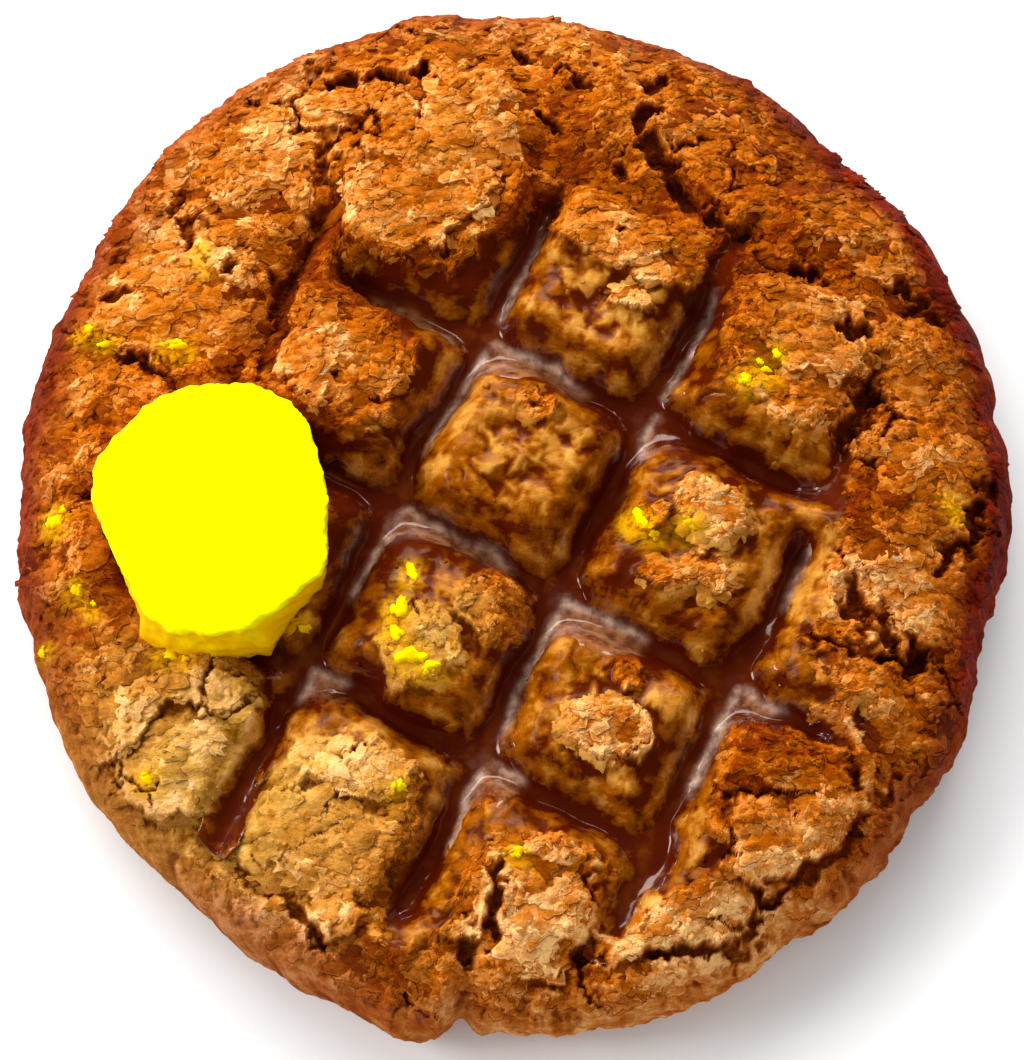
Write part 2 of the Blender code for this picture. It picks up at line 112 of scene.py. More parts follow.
# How far the bumps' corners are rounded off, and over what distance from the bars
CORNER_SINK = 0.6
CORNER_REACH = 4.0 * MM

# Bumps between the bars: each has its own height and tilt, which end before the rim
PRESS_PITCH = 20.8 * MM
BUMP_RANGE = range(-2, 6)
BUMP_LIFT = 0.7 * MM
BUMP_TILT = 0.055
BUMP_FADE = (0.62, 0.80)
BUMP_SEED = 7

# How the edges of marks wander: (how far, size of the largest bend, layers, gain, seeds)
SERRATED = (0.24 * MM, 1.0 * MM, 3, 0.6, (11, 23))
BENT = (0.75 * MM, 4.2 * MM, 3, 0.55, (31, 37))
TORN = (0.5 * MM, 1.9 * MM, 3, 0.6, (41, 47))
SWAY = (0.55 * MM, 12.0 * MM, 2, 0.55, (141, 149))

# Relief of the dry crust: slow swells, broken layers, and shards of (size, height, weight in the tone, seed)
SWELL_HEIGHT = 0.5 * MM
SWELL_SIZE = 21.0 * MM
LAYER_SIZE = 9.0 * MM
LAYER_STEPS = (-0.34, -0.1, 0.16, 0.42)
LAYER_EDGE = 0.015
LAYER_HEIGHT = 1.5 * MM
SMALL_LAYER_SIZE = 4.4 * MM
SMALL_LAYER_STEPS = (-0.22, 0.12, 0.4)
SMALL_LAYER_EDGE = 0.02
SMALL_LAYER_HEIGHT = 0.2 * MM
SHARDS = (
    (3.8 * MM, 0.30 * MM, 0.5, 3),
    (1.9 * MM, 0.13 * MM, 0.35, 5),
    (0.95 * MM, 0.04 * MM, 0.15, 8),
)
SHARD_LEAN = 0.05
SHARD_GAP = 0.14
# How much of it is left where the crust is wet and on plates, and how much is lost where it is pale
ROUGH_WHERE_WET = 0.5
ROUGH_ON_PLATES = 0.6
SMOOTH_WHERE_PALE = 0.6
PLATE_EDGE = (0.985, 1.02)
# Dry islands between the grooves stand a little prouder, up to a part of the way to the rim
ISLAND_LIFT = 0.45 * MM
ISLAND_FADE = (0.5, 0.75)

# Relief of the soaked crust: lumps with creases between them
SOAKED_SHARE = 0.9
SOAKED_SOFTNESS = 1.0 * MM
LUMP_SIZE = 3.2 * MM
LUMP_HEIGHT = 0.42 * MM
LUMP_SWELL = 0.4 * MM
LUMP_SWELL_SIZE = 4.0 * MM
FOLD_MEAN = 0.3
CREASE_WIDTH = 0.14

# What the finish reads from the relief, for its painted highlight and shade: edges that stand proud and
# hollows that lie low
EDGE_SOFTNESS = 0.7 * MM
EDGE_HEIGHT = 0.30 * MM
HOLLOW_SOFTNESS = 2.4 * MM
HOLLOW_DEPTH = 1.3 * MM
SHADE_SOFTNESS = 0.5 * MM
GROUND_SOFTNESS = 0.35 * MM

# Tone of the crust, from 0 dark to 1 light: its middle, and what each feature adds
TONE_MIDDLE = 0.42
TONE_PLATE = 0.14
TONE_LAYER = 0.14
TONE_SHARD = 0.34
TONE_ISLAND = -0.06
TONE_BLOTCH = 0.16
TONE_BROAD = 0.09
# Proud edges are lighter, partly paler broken crumb and partly a painted highlight; hollows are darkened by
# painted shade
TONE_EDGE_PALE_AND_LIT = 0.20
TONE_RECESS_SHADE = -0.24
TONE_CRACK = 0.10
TONE_WET = 0.10
TONE_SUNK = -0.36
# Creases between soaked lumps are painted darker as shade
TONE_CREASE_SHADE = -0.2
# Walls that lie in shade are painted lighter
TONE_LIGHTER_IN_SHADE = 0.16
# The dark foot of the grooves' other walls: how far from the groove's middle and how wide, in millimetres
TONE_LEE = -0.44
LEE_MIDDLE = 2.8
LEE_WIDTH = 2.0

# Crust plates that stand proud: (x, y, half length, half width, turn in degrees, lift), in millimetres
PLATES = (
    (-9, 35, 10.5, 9, 20, 1.3), (30, 14, 9, 7.5, 65, 1.4), (-37, 21, 8.5, 6, 15, 1),
    (-20, 15, 7.5, 5, 60, 0.6), (29, -33, 9.5, 7.5, 40, 1.2), (-34, -28, 8, 7.5, 0, 1.1),
    (-20.5, -38.5, 9, 5, -8, 0.7), (3, -44, 6.5, 5.5, 15, 0.9), (44, -7, 12, 4.5, 75, 0.9),
    (40.5, 28, 8, 4.5, -40, 0.9), (13.4, 28.2, 8.5, 4.7, -27, 0.6), (10.3, -27.2, 5, 3.4, -10, 0.7),
    (21.2, -3.2, 4.4, 3, -30, 0.6), (-24, 41, 6, 4, 30, 0.7), (24, 37, 7, 4.5, -50, 0.8),
    (19, -48, 8, 4, 25, 0.7), (-10.2, -18.2, 4.8, 3.9, 35, 0.5),
)

# Ledges where the crust broke: (drop, points), the low side to the right of the way, in millimetres
LEDGES = (
    (0.9, ((-38.7, 34.6), (-34.1, 34.1), (-32.1, 31), (-30.1, 31.1), (-27.7, 31.9), (-25.8, 32.4),
     (-24.5, 33.6))),
    (0.7, ((-24.5, 33.3), (-24.3, 37.3), (-24.8, 41.8), (-23.9, 44.3))),
    (0.9, ((-23.2, 39.8), (-20.9, 38.6), (-19.3, 40.4), (-17.3, 40.8), (-15.6, 44.1))),
    (1.4, ((-26.1, 21.4), (-25.2, 23.2), (-23.5, 25.2), (-22.6, 27.8), (-22, 30.7), (-21.6, 32.4))),
    (1.2, ((-15.8, 43.3), (-16.4, 38.3), (-15.7, 35.7), (-17.9, 34.7), (-18.9, 33.3), (-18.6, 30.7),
     (-18, 27.8), (-17.8, 23.7))),
    (1.6, ((-27.6, 12), (-27.4, 15.7), (-26.6, 17.4), (-26.2, 19.9), (-25.4, 22.6))),
    (1.3, ((-22.1, 25.2), (-23.4, 22.6), (-23.8, 19.5), (-24.4, 16.3), (-25.6, 12.9), (-26.5, 11.3))),
    (1.3, ((-46.1, 17), (-42.9, 15.5), (-40.1, 14.8), (-38.6, 13.1), (-35.6, 11.1), (-33.5, 10.8))),
    (0.6, ((-35.3, 26.8), (-32.7, 25.2), (-31.2, 22.6), (-29.4, 21.8), (-27.5, 21.8))),
    (1.5, ((-16.7, 23.6), (-14.2, 24.1), (-12.5, 25.2), (-10.9, 25.7), (-9.3, 26.6), (-7.3, 25.8),
     (-6.6, 27.8), (-4.9, 29.4), (-2.5, 30.8), (-1.6, 33.3), (-2.3, 36.2))),
    (0.7, ((-17.8, 22.9), (-14.1, 21.8), (-11.2, 22.2), (-8.2, 24.3), (-7.1, 23.2), (-3.8, 25.2),
     (-0.5, 26.6))),
    (0.8, ((-17.8, 10.8), (-15.6, 9.9), (-14, 8.4), (-12.8, 9.5), (-11.9, 11.1), (-10.3, 12.9),
     (-9.4, 15.1))),
    (0.9, ((-27.3, 11.2), (-23.4, 11.5), (-22.6, 8.4), (-21, 7.5), (-18.9, 12.7), (-18.1, 15.1))),
    (0.8, ((-18.4, 15.1), (-18.9, 18.8), (-18.4, 22.6))),
    (0.9, ((-22.3, 6.8), (-20.4, 5), (-17.5, 4.5), (-14, 5.4), (-14.8, 7))),
    (1, ((4.9, 25.2), (5.8, 21.8), (8.2, 21.1), (10.6, 22.5), (10.9, 23.6), (13.6, 24.3), (16, 25.2),
     (19.3, 26.8))),
    (0.8, ((12.3, 19.5), (13.3, 16.9), (14.7, 18.8), (15.8, 20.2), (17.1, 20.9), (17.6, 22.2))),
    (0.7, ((3.3, 21.1), (6.5, 20.6), (10.5, 20.9))),
    (0.8, ((8.1, 17.4), (10.5, 17.9), (12.5, 17.4))),
    (1, ((29.5, 26.8), (31.1, 27.2), (33.6, 28), (36.7, 26.9), (40, 27.7), (42.1, 28.6))),
    (1.3, ((25.7, 17.4), (26.7, 15.1), (29.7, 11.2), (32.4, 12.2), (33.4, 11.3), (35.1, 10.5), (36.4, 11.2),
     (38.3, 11.9), (39.5, 14), (40.7, 15.8))),
    (0.9, ((38.6, 24.4), (40.4, 22.3), (42.6, 22.7), (44.2, 24.4), (44.8, 26.3))),
    (1.2, ((40.5, 11.2), (38.8, 6.7), (37.6, 4.8), (36, 3.9), (35.5, 0.5), (32.6, -1.2))),
    (0.7, ((22.6, 38.5), (24.8, 37.3), (26.5, 35.9), (29.2, 36.6))),
    (0.6, ((20.5, 41.2), (22.9, 40), (25.1, 40.5))),
    (0.8, ((28.5, 32.5), (29.4, 36.3), (30.4, 38.9))),
    (0.9, ((16.7, -11.4), (18.6, -12.4), (20.9, -13.6), (22.1, -13.9), (22.6, -11.6), (22.9, -9.6))),
    (0.8, ((18.6, -7.4), (20.3, -8.3), (22.6, -8.5), (24.6, -7.1), (25.9, -5))),
    (0.7, ((24.9, -0.8), (27.1, -0.8), (27.8, 1.6))),
    (1.1, ((5, -28.3), (7.1, -30.1), (8.7, -31), (9.9, -29.5), (12, -30.2), (14.1, -30.6), (14.8, -28.3),
     (14.7, -25.9), (13.1, -24.8), (11.2, -23.9))),
    (0.7, ((8.9, -33.6), (13, -33.9), (16, -32.6))),
    (0.9, ((22.6, -41.3), (25.5, -43.4), (27.6, -44), (29.3, -41.9), (31.8, -40.3), (34.6, -39.1),
     (36.1, -36.2), (36.3, -33.7))),
    (0.8, ((24.3, -32.3), (22.6, -34.4), (22.5, -38.2))),
    (0.7, ((24.8, -31), (26.6, -32.6), (29.7, -34), (32.4, -32.6))),
    (1.1, ((9.3, -51.9), (11.4, -51.3), (15, -49.7), (19.2, -49.1), (22.5, -49), (24.6, -47.5),
     (26.1, -45.2))),
    (1, ((35.1, -28), (36.4, -31.4), (37, -33.9))),
    (0.9, ((39.8, -12.5), (40.5, -14.3), (42.4, -15.8), (43.4, -17.5), (45.6, -17.9), (46.7, -17.1))),
    (0.8, ((34.9, -17), (37.3, -17.9), (39.1, -16.6), (40, -15.1))),
    (0.8, ((42.1, -27.5), (44.3, -26.1), (45.8, -24.6), (46.6, -23.1))),
    (1, ((-45.7, -31.1), (-43.7, -29.5), (-41.6, -28.7), (-40, -28.2), (-38.9, -27.1), (-38.4, -25.6),
     (-36.8, -24.1), (-33.1, -24.1), (-32.8, -25.3), (-30.4, -25.3), (-28.9, -24.1), (-26.9, -22.4),
     (-25.9, -20.1))),
    (1.3, ((-31.3, -38.4), (-29.2, -36.5), (-28.2, -34.2), (-26.7, -32.1), (-26, -29.9), (-26.2, -27.8),
     (-25.5, -25.7), (-26.3, -23.5))),
    (0.7, ((-40.4, -35.1), (-37.2, -35.8), (-35.3, -35), (-32.9, -36.1), (-32.2, -38.4), (-31.2, -38.8))),
    (0.7, ((-34.5, -38.6), (-35.9, -40.1), (-35.2, -42.2))),
    (1.2, ((-22.5, -31.5), (-20.4, -32.5), (-18.3, -33.1), (-17, -34.2), (-14.1, -34.8), (-11.8, -34.2),
     (-10.4, -31.6), (-9.9, -30.4))),
    (0.9, ((-29.2, -39.3), (-27.6, -41.4), (-25.5, -43), (-23.6, -43.5), (-22.1, -42.9))),
    (1.1, ((-17.6, -43.9), (-14.8, -44.3), (-13.2, -43.9), (-12.8, -41.3), (-12, -38.4))),
    (1, ((-23, -44), (-21.8, -45.6), (-20.2, -47.1), (-19.6, -48.9), (-17.5, -48.7), (-16.1, -47.2),
     (-14.7, -46.1))),
    (0.9, ((-8, -47.7), (-5.7, -49.3), (-3.4, -48.8), (-2.5, -46.7), (-2.3, -43.4))),
    (0.9, ((-1, -50.9), (0.7, -52.3), (3.8, -52.8), (5.8, -51.3), (6.9, -49.5), (9, -47.5))),
    (0.7, ((-1.6, -40.9), (0.9, -40.1), (3.8, -41.1), (6.2, -40.7), (9.2, -40.3))),
    (0.8, ((-5.9, -53.2), (-4.7, -50.7), (-2.6, -49.9))),
    (0.7, ((11.1, -19.2), (13.2, -20.5), (14.2, -22.4))),
    (0.6, ((-4.8, 1.6), (-2.7, 0.5), (0.5, 2.5), (3.5, 1.6))),
)

# How a ledge falls away, how its upper side curls, how it runs out at its ends, and how wide the painted
# shadow below it is
LEDGE_RISE = 1.15
LEDGE_FALL = 2.2 * MM
LEDGE_CURL = 0.06
LEDGE_ENDS = 2.0 * MM
LEDGE_EDGE = (-0.1 * MM, 0.35 * MM)
LEDGE_SHADOW_WIDTH = 0.7 * MM

# Cracks and pits in the crust: (half width, depth, points), in millimetres
CRACKS = (
    (1.2, 1, ((-19.9, 40.3), (-20.8, 34.7), (-21, 29.9), (-21.3, 25.9))),
    (1.1, 1.7, ((-24.5, 22.6), (-25.5, 18.3), (-26.7, 14.9), (-27.5, 11.7))),
    (0.7, 1.4, ((-41.9, 14.4), (-39.7, 13.6), (-37.5, 12.2))),
    (1, 2.4, ((14.5, 43), (15.1, 39.4), (16, 37.1), (17, 34.7), (19, 32.6))),
    (0.8, 2.1, ((19, 32.6), (20.5, 30.9), (22.6, 28.9), (25.1, 27.9))),
    (1, 2.4, ((31.1, 24.1), (33.4, 23.4))), (0.9, 2.4, ((38.5, 10.4), (36.2, 5.2), (34.4, 2.5))),
    (1.2, 1.5, ((36.1, -12.7), (37.6, -14.9), (39.4, -17.3))), (1, 3, ((39.9, -18.8), (43.7, -19.2))),
    (1.2, 1.8, ((10, -42.6), (9, -47.7), (7.7, -50.9))),
    (0.7, 2, ((-1.6, -41.7), (-1.4, -44.9), (-1.8, -49.2))),
    (0.8, 1.2, ((26.3, -44.6), (29.7, -42.3), (33.1, -40.4), (36.1, -38.6))),
    (0.5, 1.6, ((14.2, -50.3), (19.2, -49.6), (23.6, -49.5))), (1, 2.8, ((-15.6, 47.7), (-13.2, 47.4))),
    (0.7, 2, ((-19.7, 47.1), (-17.7, 47.7))), (0.7, 2, ((-11, 47.9), (-10.1, 48.4))),
    (0.6, 1.6, ((15.2, 45.6), (17, 47.3))), (0.5, 1.6, ((7, 47), (9, 45))),
    (0.4, 1.2, ((-44.9, 21.4), (-41.8, 22))), (0.6, 1.6, ((-31.1, 24.5), (-30.2, 23.6))),
    (0.5, 1.4, ((-35.7, 30.2), (-35.6, 27.5))), (0.6, 1.5, ((35.7, -28.3), (36.8, -32.9))),
    (0.7, 1.6, ((35, -39.1), (36.3, -37.2))), (0.6, 1.5, ((41, -30.7), (39.9, -32.8), (38.8, -33.9))),
    (0.8, 1.6, ((42.6, 22.5), (44.8, 20.3), (46.9, 19))), (0.7, 1.8, ((36.3, 17.4), (38.5, 16.7))),
    (0.5, 1.5, ((0.6, 50.6), (1.5, 49.6))), (0.6, 1.6, ((3.3, 42), (5, 40.4))),
    (0.5, 1.3, ((11.5, 35), (12.4, 35.7))),
    (0.6, 1.7, ((-27.4, -42.9), (-24.2, -43.8), (-22.3, -45.9), (-19.8, -49.2))),
    (0.6, 1.5, ((-4.7, -50.5), (-3.6, -49.5))), (0.5, 1.5, ((4.6, -56.5), (6.9, -56.9))),
    (0.6, 1.6, ((46.5, -7), (48.9, -5.9))), (0.6, 1.6, ((49.8, -5.7), (50.5, -3.4))),
    (0.9, 2, ((51.9, 0.9), (51, -1.6), (49.7, -3.8))), (0.5, 1.5, ((48.4, -5.4), (47, -7.1), (45.4, -9.9))),
    (0.6, 1.5, ((42.7, 23.2), (43.8, 21.8), (45.4, 21.2))),
    (0.8, 1.5, ((26, -43.8), (25.1, -46.6), (24.5, -50.2))), (0.6, 1.3, ((35.3, -41.8), (36.8, -42.9))),
)
# How the cracks narrow and widen along their way, and the fine cracks between the flakes
PINCH = 0.95
PINCH_SIZE = 2.2 * MM
PINCHED_MOST = 0.25
FINE_CRACK_SPACING = 8.0 * MM
FINE_CRACK_DEPTH = 1.0 * MM

# How far the rim is browned and darkened by painted shade in each direction: (degrees, share)
RIM_BROWNING_AND_SHADE = (
    (0, 1.5), (15, 1.2), (30, 1.5), (45, 1.1), (60, 0.85), (75, 0.6), (90, 0.6), (105, 0.65), (135, 0.65),
    (150, 0.85), (180, 0.95), (195, 0.73), (210, 0.45), (225, 0.5), (240, 0.7), (255, 0.6), (270, 0.3),
    (300, 0.3), (315, 0.65), (330, 0.85),
)

# Where the crust baked paler: (x, y, half width, half height, share), sizes in millimetres
PALE_SPOTS = ((-30, -32, 20, 16, 1), (-9, -16, 8, 8, 0.6))

# Spots that stayed dry above the syrup: (x, y, half length, half width, turn in degrees), in millimetres
DRY_SPOTS = (
    (13.4, 28.2, 9, 5, -27), (13.1, 20.2, 3.2, 1.6, -20), (2.9, 8.2, 2.6, 1.3, -30),
    (21.2, -3.2, 4.6, 3.2, -30), (21, -10.3, 3.4, 2.1, -20), (14.7, -4.1, 2.2, 1.8, 0),
    (15.8, -10.8, 3, 1.3, 0), (27.3, 1.9, 2.4, 1.4, 0), (-10.2, -18.2, 5.2, 4.2, 35), (-1.9, -14, 4, 4.6, 60),
    (10.3, -27.2, 5.2, 3.6, -10), (12.4, -20.8, 1.9, 2.6, 0), (-19, -38, 10, 9, 0), (33, 18, 9, 9, 60),
    (3, -45.5, 8, 6.5, 0), (43.5, -7, 14, 8, 80), (30.5, -33.5, 9, 8.5, 0), (18, -50, 12, 6, 20),
    (-9, 36.5, 12, 10, 20), (-20.5, 15, 8.5, 8.5, 20), (-36, -27, 9.5, 12, 0), (-40, 5, 12, 30, 0),
    (5, 38.5, 9, 6, 0), (-23, 30, 6, 9, 0),
)

# How the dry spots end, how sharply the wet ends against them, and how far from the rim the syrup stays
DRY_EDGE = (0.55, 1.3)
DRY_SQUARENESS = 2.5
WET_EDGE = (0.20, 0.36)
WET_REACH = (0.80, 0.92)

# Squares soaked right through, in the press's own directions: (low u, high u, low v, high v).
# Elsewhere the syrup soaks the walls up to a distance from the grooves.
SOAKED = (
    (-11.5 * MM, 31.5 * MM, -29.0 * MM, 15.0 * MM),
    (-11.5 * MM, 10.5 * MM, 14.0 * MM, 27.0 * MM),
)
SOAKED_WALL = 7.0 * MM

# Spots where the crust's tone is raised or lowered: (x, y, half width, half height, paler or darker), sizes
# in millimetres
TONE_SPOTS = (
    (24.5, 32, 15, 13, -0.32), (25, 28, 5, 5, -0.10), (8, 42, 8, 6.5, -0.20), (0, 50, 6, 4, 0.16),
    (-13, 49, 5, 4, -0.10), (-13, 40, 6, 5, -0.20), (-25, 41, 6, 6, 0.14), (-37.5, 29.5, 7, 5, 0.26),
    (-37, 19.5, 6, 4, -0.22), (-25, 20, 5, 5, -0.16), (0, 30, 5, 5, -0.12), (-29, -47, 13, 7, 0.46),
    (-36, -39, 5, 5, 0.20), (-36, -20, 6, 5, -0.12), (18, -48, 22, 7, 0.42), (36, -11, 6, 5, 0.42),
    (36, -1, 6, 5, -0.22), (36, -20, 5, 5, -0.26), (36, -30, 6, 5, 0.26), (-36, -48, 5, 5, 0.20),
    (-50, -6, 6, 14, -0.12), (-48, 22, 6, 8, -0.14), (50, -4, 7, 9, -0.32), (49.5, 20, 6, 6, -0.34),
    (48, -22, 6, 10, -0.08), (23.5, -33, 6, 7, -0.26), (-13, -8, 5, 5, -0.46), (-12, -48, 4.5, 7, -0.38),
    (-24, -38.5, 5.5, 5, -0.36), (-19, -29, 12, 5, 0.48), (12, 20, 7, 6, 0.42), (24, 13, 5, 7, -0.18),
    (-0.5, 9, 7, 7, 0.20), (-12.5, 0, 5, 5, 0.12), (23, 0, 6, 5, 0.28), (22.5, -9.5, 6.5, 5, 0.32),
    (0, -11, 5, 5, 0.16), (12, -9, 4, 4, -0.30), (11, -28, 7, 6, 0.60), (10.3, -27.2, 4, 2.8, -0.55),
    (24, -20, 4, 4, -0.26), (0, -30, 4, 4, -0.22), (0, 19, 4, 4, -0.26), (12, 9, 4, 4, -0.22),
)

# Flakes of butter stuck to the crust: (x, y, half width, half height, lift), in millimetres
BUTTER_FLAKES = (
    (-36.3, 15.1, 1.8, 0.7, 0.5), (-46.2, 18, 0.9, 0.5, 0.4), (-44, 16.2, 1.3, 0.45, 0.4),
    (-49.1, -3.7, 1.1, 1.1, 0.5), (-48.3, -2.6, 0.7, 0.5, 0.4), (-46.7, -11.4, 0.7, 0.9, 0.4),
    (-44.6, -13, 0.4, 0.4, 0.3), (-50.8, -17, 0.7, 0.5, 0.3), (-22.2, -15.7, 0.8, 0.6, 0.4),
    (-36, -19.2, 1.1, 0.7, 0.4), (-34.4, -19.6, 0.6, 0.4, 0.4), (-38.4, -31.8, 1, 0.6, 0.3),
    (27.5, 12, 1.3, 1.3, 0.6), (28.4, 13.4, 0.7, 0.8, 0.5), (25.1, 10.4, 0.7, 0.7, 0.4),
    (19.4, -5.3, 1.1, 0.9, 0.5), (13.7, -4.5, 0.9, 1.3, 0.3), (15, -6.3, 0.7, 0.6, 0.4),
    (-11.7, -14.6, 1, 1.5, 0.5), (-12.3, -17.2, 0.9, 0.9, 0.5), (-10.6, -19.7, 1.6, 1.2, 0.6),
    (-8.6, -20.9, 1.1, 0.8, 0.5), (-10.6, -10.3, 0.7, 1.2, 0.3), (-11.7, -33.3, 0.7, 0.9, 0.4),
    (0.5, -40, 0.9, 0.7, 0.4),
)
# The torn bits that make up a flake: (size, distance from its middle), as parts of the flake's
BUTTER_BITS = ((0.8, 0.0), (0.55, 0.6), (0.42, 0.8))
# Crust only stained by butter that melted away: (x, y, half width, half height), in millimetres
BUTTER_STAINS = ((-33.5, 25.7, 1, 1.5), (48.1, -2.2, 0.6, 1))
# How far a stain lies from its flake and spreads past it, in millimetres, and how it fades out
STAIN_SHIFT = (-0.2, -0.4)
STAIN_SPREAD = (1.3, 1.1)
STAIN_EDGE = (0.35, 1.15)

# Flakes of crust: (piece, number, least and largest size, corners, seed), and the lip below their edges,
# painted dark as a shadow
FLAKES = (
    ("large_flakes", 2500, (0.9 * MM, 3.1 * MM), 26, 5),
    ("small_flakes", 3600, (0.35 * MM, 1.1 * MM), 14, 6),
)
FLAKE_LIP = 0.17 * MM
# The twelve triangles of a crumb with eight corners
CRUMB_FACES = (
    (0, 2, 3), (0, 3, 1), (4, 5, 7), (4, 7, 6), (0, 1, 5), (0, 5, 4),
    (2, 6, 7), (2, 7, 3), (0, 4, 6), (0, 6, 2), (1, 3, 7), (1, 7, 5),
)

# Syrup: its level in the grooves, and how it climbs their walls, steeper from a distance on
SYRUP_LEVEL_Z = 12.3 * MM
SYRUP_CURVE = 0.26 / MM
SYRUP_CLIMB = 1.3 * MM
SYRUP_EVEN = 2.0 * MM
SYRUP_STEEPER = 0.05 / MM
SYRUP_REACH = 0.9 * MM
SYRUP_EASE = 0.4 * MM
SYRUP_CLARITY = 1.1 * MM
# The coat that it leaves on the walls, and how far below them its mesh dips where it leaves none
COAT_THICKNESS = 0.10 * MM
COAT_HIDDEN = -0.9 * MM
WALL_SOFTNESS = 0.4 * MM

# Films caught on the bumps' corners: (x, y, half length, half width, turn in degrees), in millimetres
SYRUP_FILMS = (
    (-5.7, 10.3, 6.8, 1.5, 63), (-0.5, 13.9, 3.8, 2.6, -25), (4.9, 12.8, 4.2, 0.8, -30),
    (-15, -7.7, 5.2, 1.2, 62), (-10.2, -4.4, 4.4, 2.1, -24), (-3.8, -7.2, 4.6, 0.9, -28),
    (2.2, -21.4, 6.8, 1.3, 63), (9.1, -15.2, 5.4, 3.4, -30), (4.8, -17, 3, 2.6, 40),
    (-3, -34.3, 6.4, 2.6, 52), (20.8, -28.6, 5.2, 1.1, 63), (26.5, -23.4, 3.8, 1.1, -6),
    (-20.9, -21.3, 3.4, 1.7, 12), (-11, 19.6, 5, 0.8, -31), (1.5, 25.8, 7, 0.5, 66), (19.8, 17, 7.6, 0.5, 66),
    (14.2, 3.8, 7, 0.6, 68), (30.9, -8.6, 5, 0.5, 62), (21.2, 9, 2.3, 0.4, 5),
)
FILM_EDGE = (0.80, 1.15)
FILM_SQUARENESS = 2.4
FILM_DEPTH = 0.12 * MM
FILM_RIPPLE = 0.10 * MM
GLAZE_SOFTNESS = 1.0 * MM
# Where films start past the middle of each kind of groove, and the width of the painted highlight along their
# brink
FILM_START_V = 0.5 * MM
FILM_START_U = -0.8 * MM
FILM_RAMP = 0.4 * MM
FILM_HIGHLIGHT_WIDTH = 0.20 * MM
# From where before a groove's middle they are kept off, how far past it they reach, and how they thin out
FILM_BARE = (-2.8 * MM, -2.2 * MM)
FILM_REACH = (3.5 * MM, 4.5 * MM)
FILM_BAND = 1.0 * MM
FILM_THINNING = 0.85
# The groove walls that lie in shade, where the crust is painted lighter: how far before the groove's middle,
# and how wide
SHADED_WALL = 4.6 * MM
SHADED_WIDTH = 1.6 * MM

# Butter pat: its middle, and the radius that its profile is drawn to
BUTTER_X = -31.0 * MM
BUTTER_Y = -5.3 * MM
BUTTER_RADIUS = 12.5 * MM
# Corners of the pat's top and of its base, from its middle, in millimetres
BUTTER_TOP_CORNERS = (
    (-3.1, 13.8), (3.9, 13.8), (6.7, 12.4), (9.3, 10), (10.3, 6.9), (11.6, 2.6), (11.6, -5.3), (11.2, -6.6),
    (9.1, -8), (6.4, -10.3), (4, -11.6), (2.4, -12.4), (-1.2, -12.6), (-4.8, -12), (-7.3, -10.3),
    (-8.6, -8.6), (-11.4, -2.4), (-13.3, 1.8), (-12.8, 6.5), (-10.5, 8.6), (-7.9, 11.3), (-6.4, 12.4),
)
BUTTER_BASE_CORNERS = (
    (-3.5, 14.5), (3.5, 14.5), (6.4, 13.1), (8.8, 10.9), (9.9, 7.8), (11.2, 3.6), (11.4, -4.4), (10.9, -6.3),
    (6.5, -11.3), (5.5, -13.3), (-0.4, -14.1), (-5.3, -13.5), (-8.4, -11.8), (-8.4, -9.4), (-11.8, -1.5),
    (-13.6, 2.5), (-13.1, 7.3), (-10.8, 9.3), (-8.2, 12.1),
)
# A softened streak and a dent in the top, as lines in millimetres
BUTTER_STREAK = ((1.8, -7.6), (5.0, -2.7))
BUTTER_DENT = ((-7.2, 2.7), (-6.0, -1.6))
BUTTER_DENT_DEPTH = 0.4 * MM
BUTTER_TOP_Z = 23.0 * MM
BUTTER_THICKNESS = 6.0 * MM
BUTTER_EDGE = 0.5 * MM
BUTTER_TIP = radians(7.0)
BUTTER_ROLL = radians(4.0)
# How much of the space below the pat stays open where it sags, and its clearance from what carries it
BUTTER_HOLLOW_KEPT = 0.35
BUTTER_GAP = 0.15 * MM
BUTTER_STEPS = 260

# Camera: nearly overhead, from the front
CAMERA_ELEVATION = radians(75.0)
CAMERA_DISTANCE = 360.0 * MM
CAMERA_AIM = (0.02 * MM, -3.08 * MM, 8.0 * MM)
MM_PER_PIXEL = 0.1095
FRAME_HEIGHT = 1060
SENSOR_WIDTH = 36.0

# Stage: the floor, and two soft lights, a large one behind and a small one on the left
FLOOR_HALF = 1.5
LIGHT_AIM = (0.0, 0.0, 0.01)
WINDOW_PLACE = (-0.135, 0.60, 0.435)
WINDOW_SIZE = (0.95, 0.45)
LAMP_PLACE = (-0.62, 0.05, 0.42)
LAMP_SIZE = (0.3, 0.3)

# Map of the crust: a square grid of samples
MAP_HALF = 61.0 * MM
MAP_STEP = 0.2 * MM


def limited(value):
    """A value kept between 0 and 1."""
    return np.clip(value, 0.0, 1.0)


def smooth_step(low, high, value):
    """Rise from 0 at low to 1 at high with flat ends."""
    part = limited((value - low) / (high - low))
    return part * part * (3.0 - 2.0 * part)


def blend(share, low, high):
    """Go from low to high by a share."""
    return low + share * (high - low)


def bell(value):
    """1 at 0, falling smoothly to either side."""
    return np.exp(-value ** 2)


def merged(first, second, ease):
    """The higher of two heights, rounded over a distance where they meet."""
    share = limited(0.5 + (second - first) / (2 * ease))
    return first * (1.0 - share) + second * share + ease * share * (1.0 - share)


def turned(x, y, angle):
    """Places turned about the origin."""
    return x * np.cos(angle) - y * np.sin(angle), x * np.sin(angle) + y * np.cos(angle)


def moved(place, *drifts):
    """Places shifted by shares of drifts: (share, drift)."""
    x, y = place
    for share, (off_x, off_y) in drifts:
        x, y = x + share * off_x, y + share * off_y
    return x, y


def hashed(column, row, seed):
    """A fixed draw between 0 and 1 for each lattice point."""
    value = np.sin(column * 127.1 + row * 311.7 + seed * 74.7) * 43758.5453
    return value - np.floor(value)


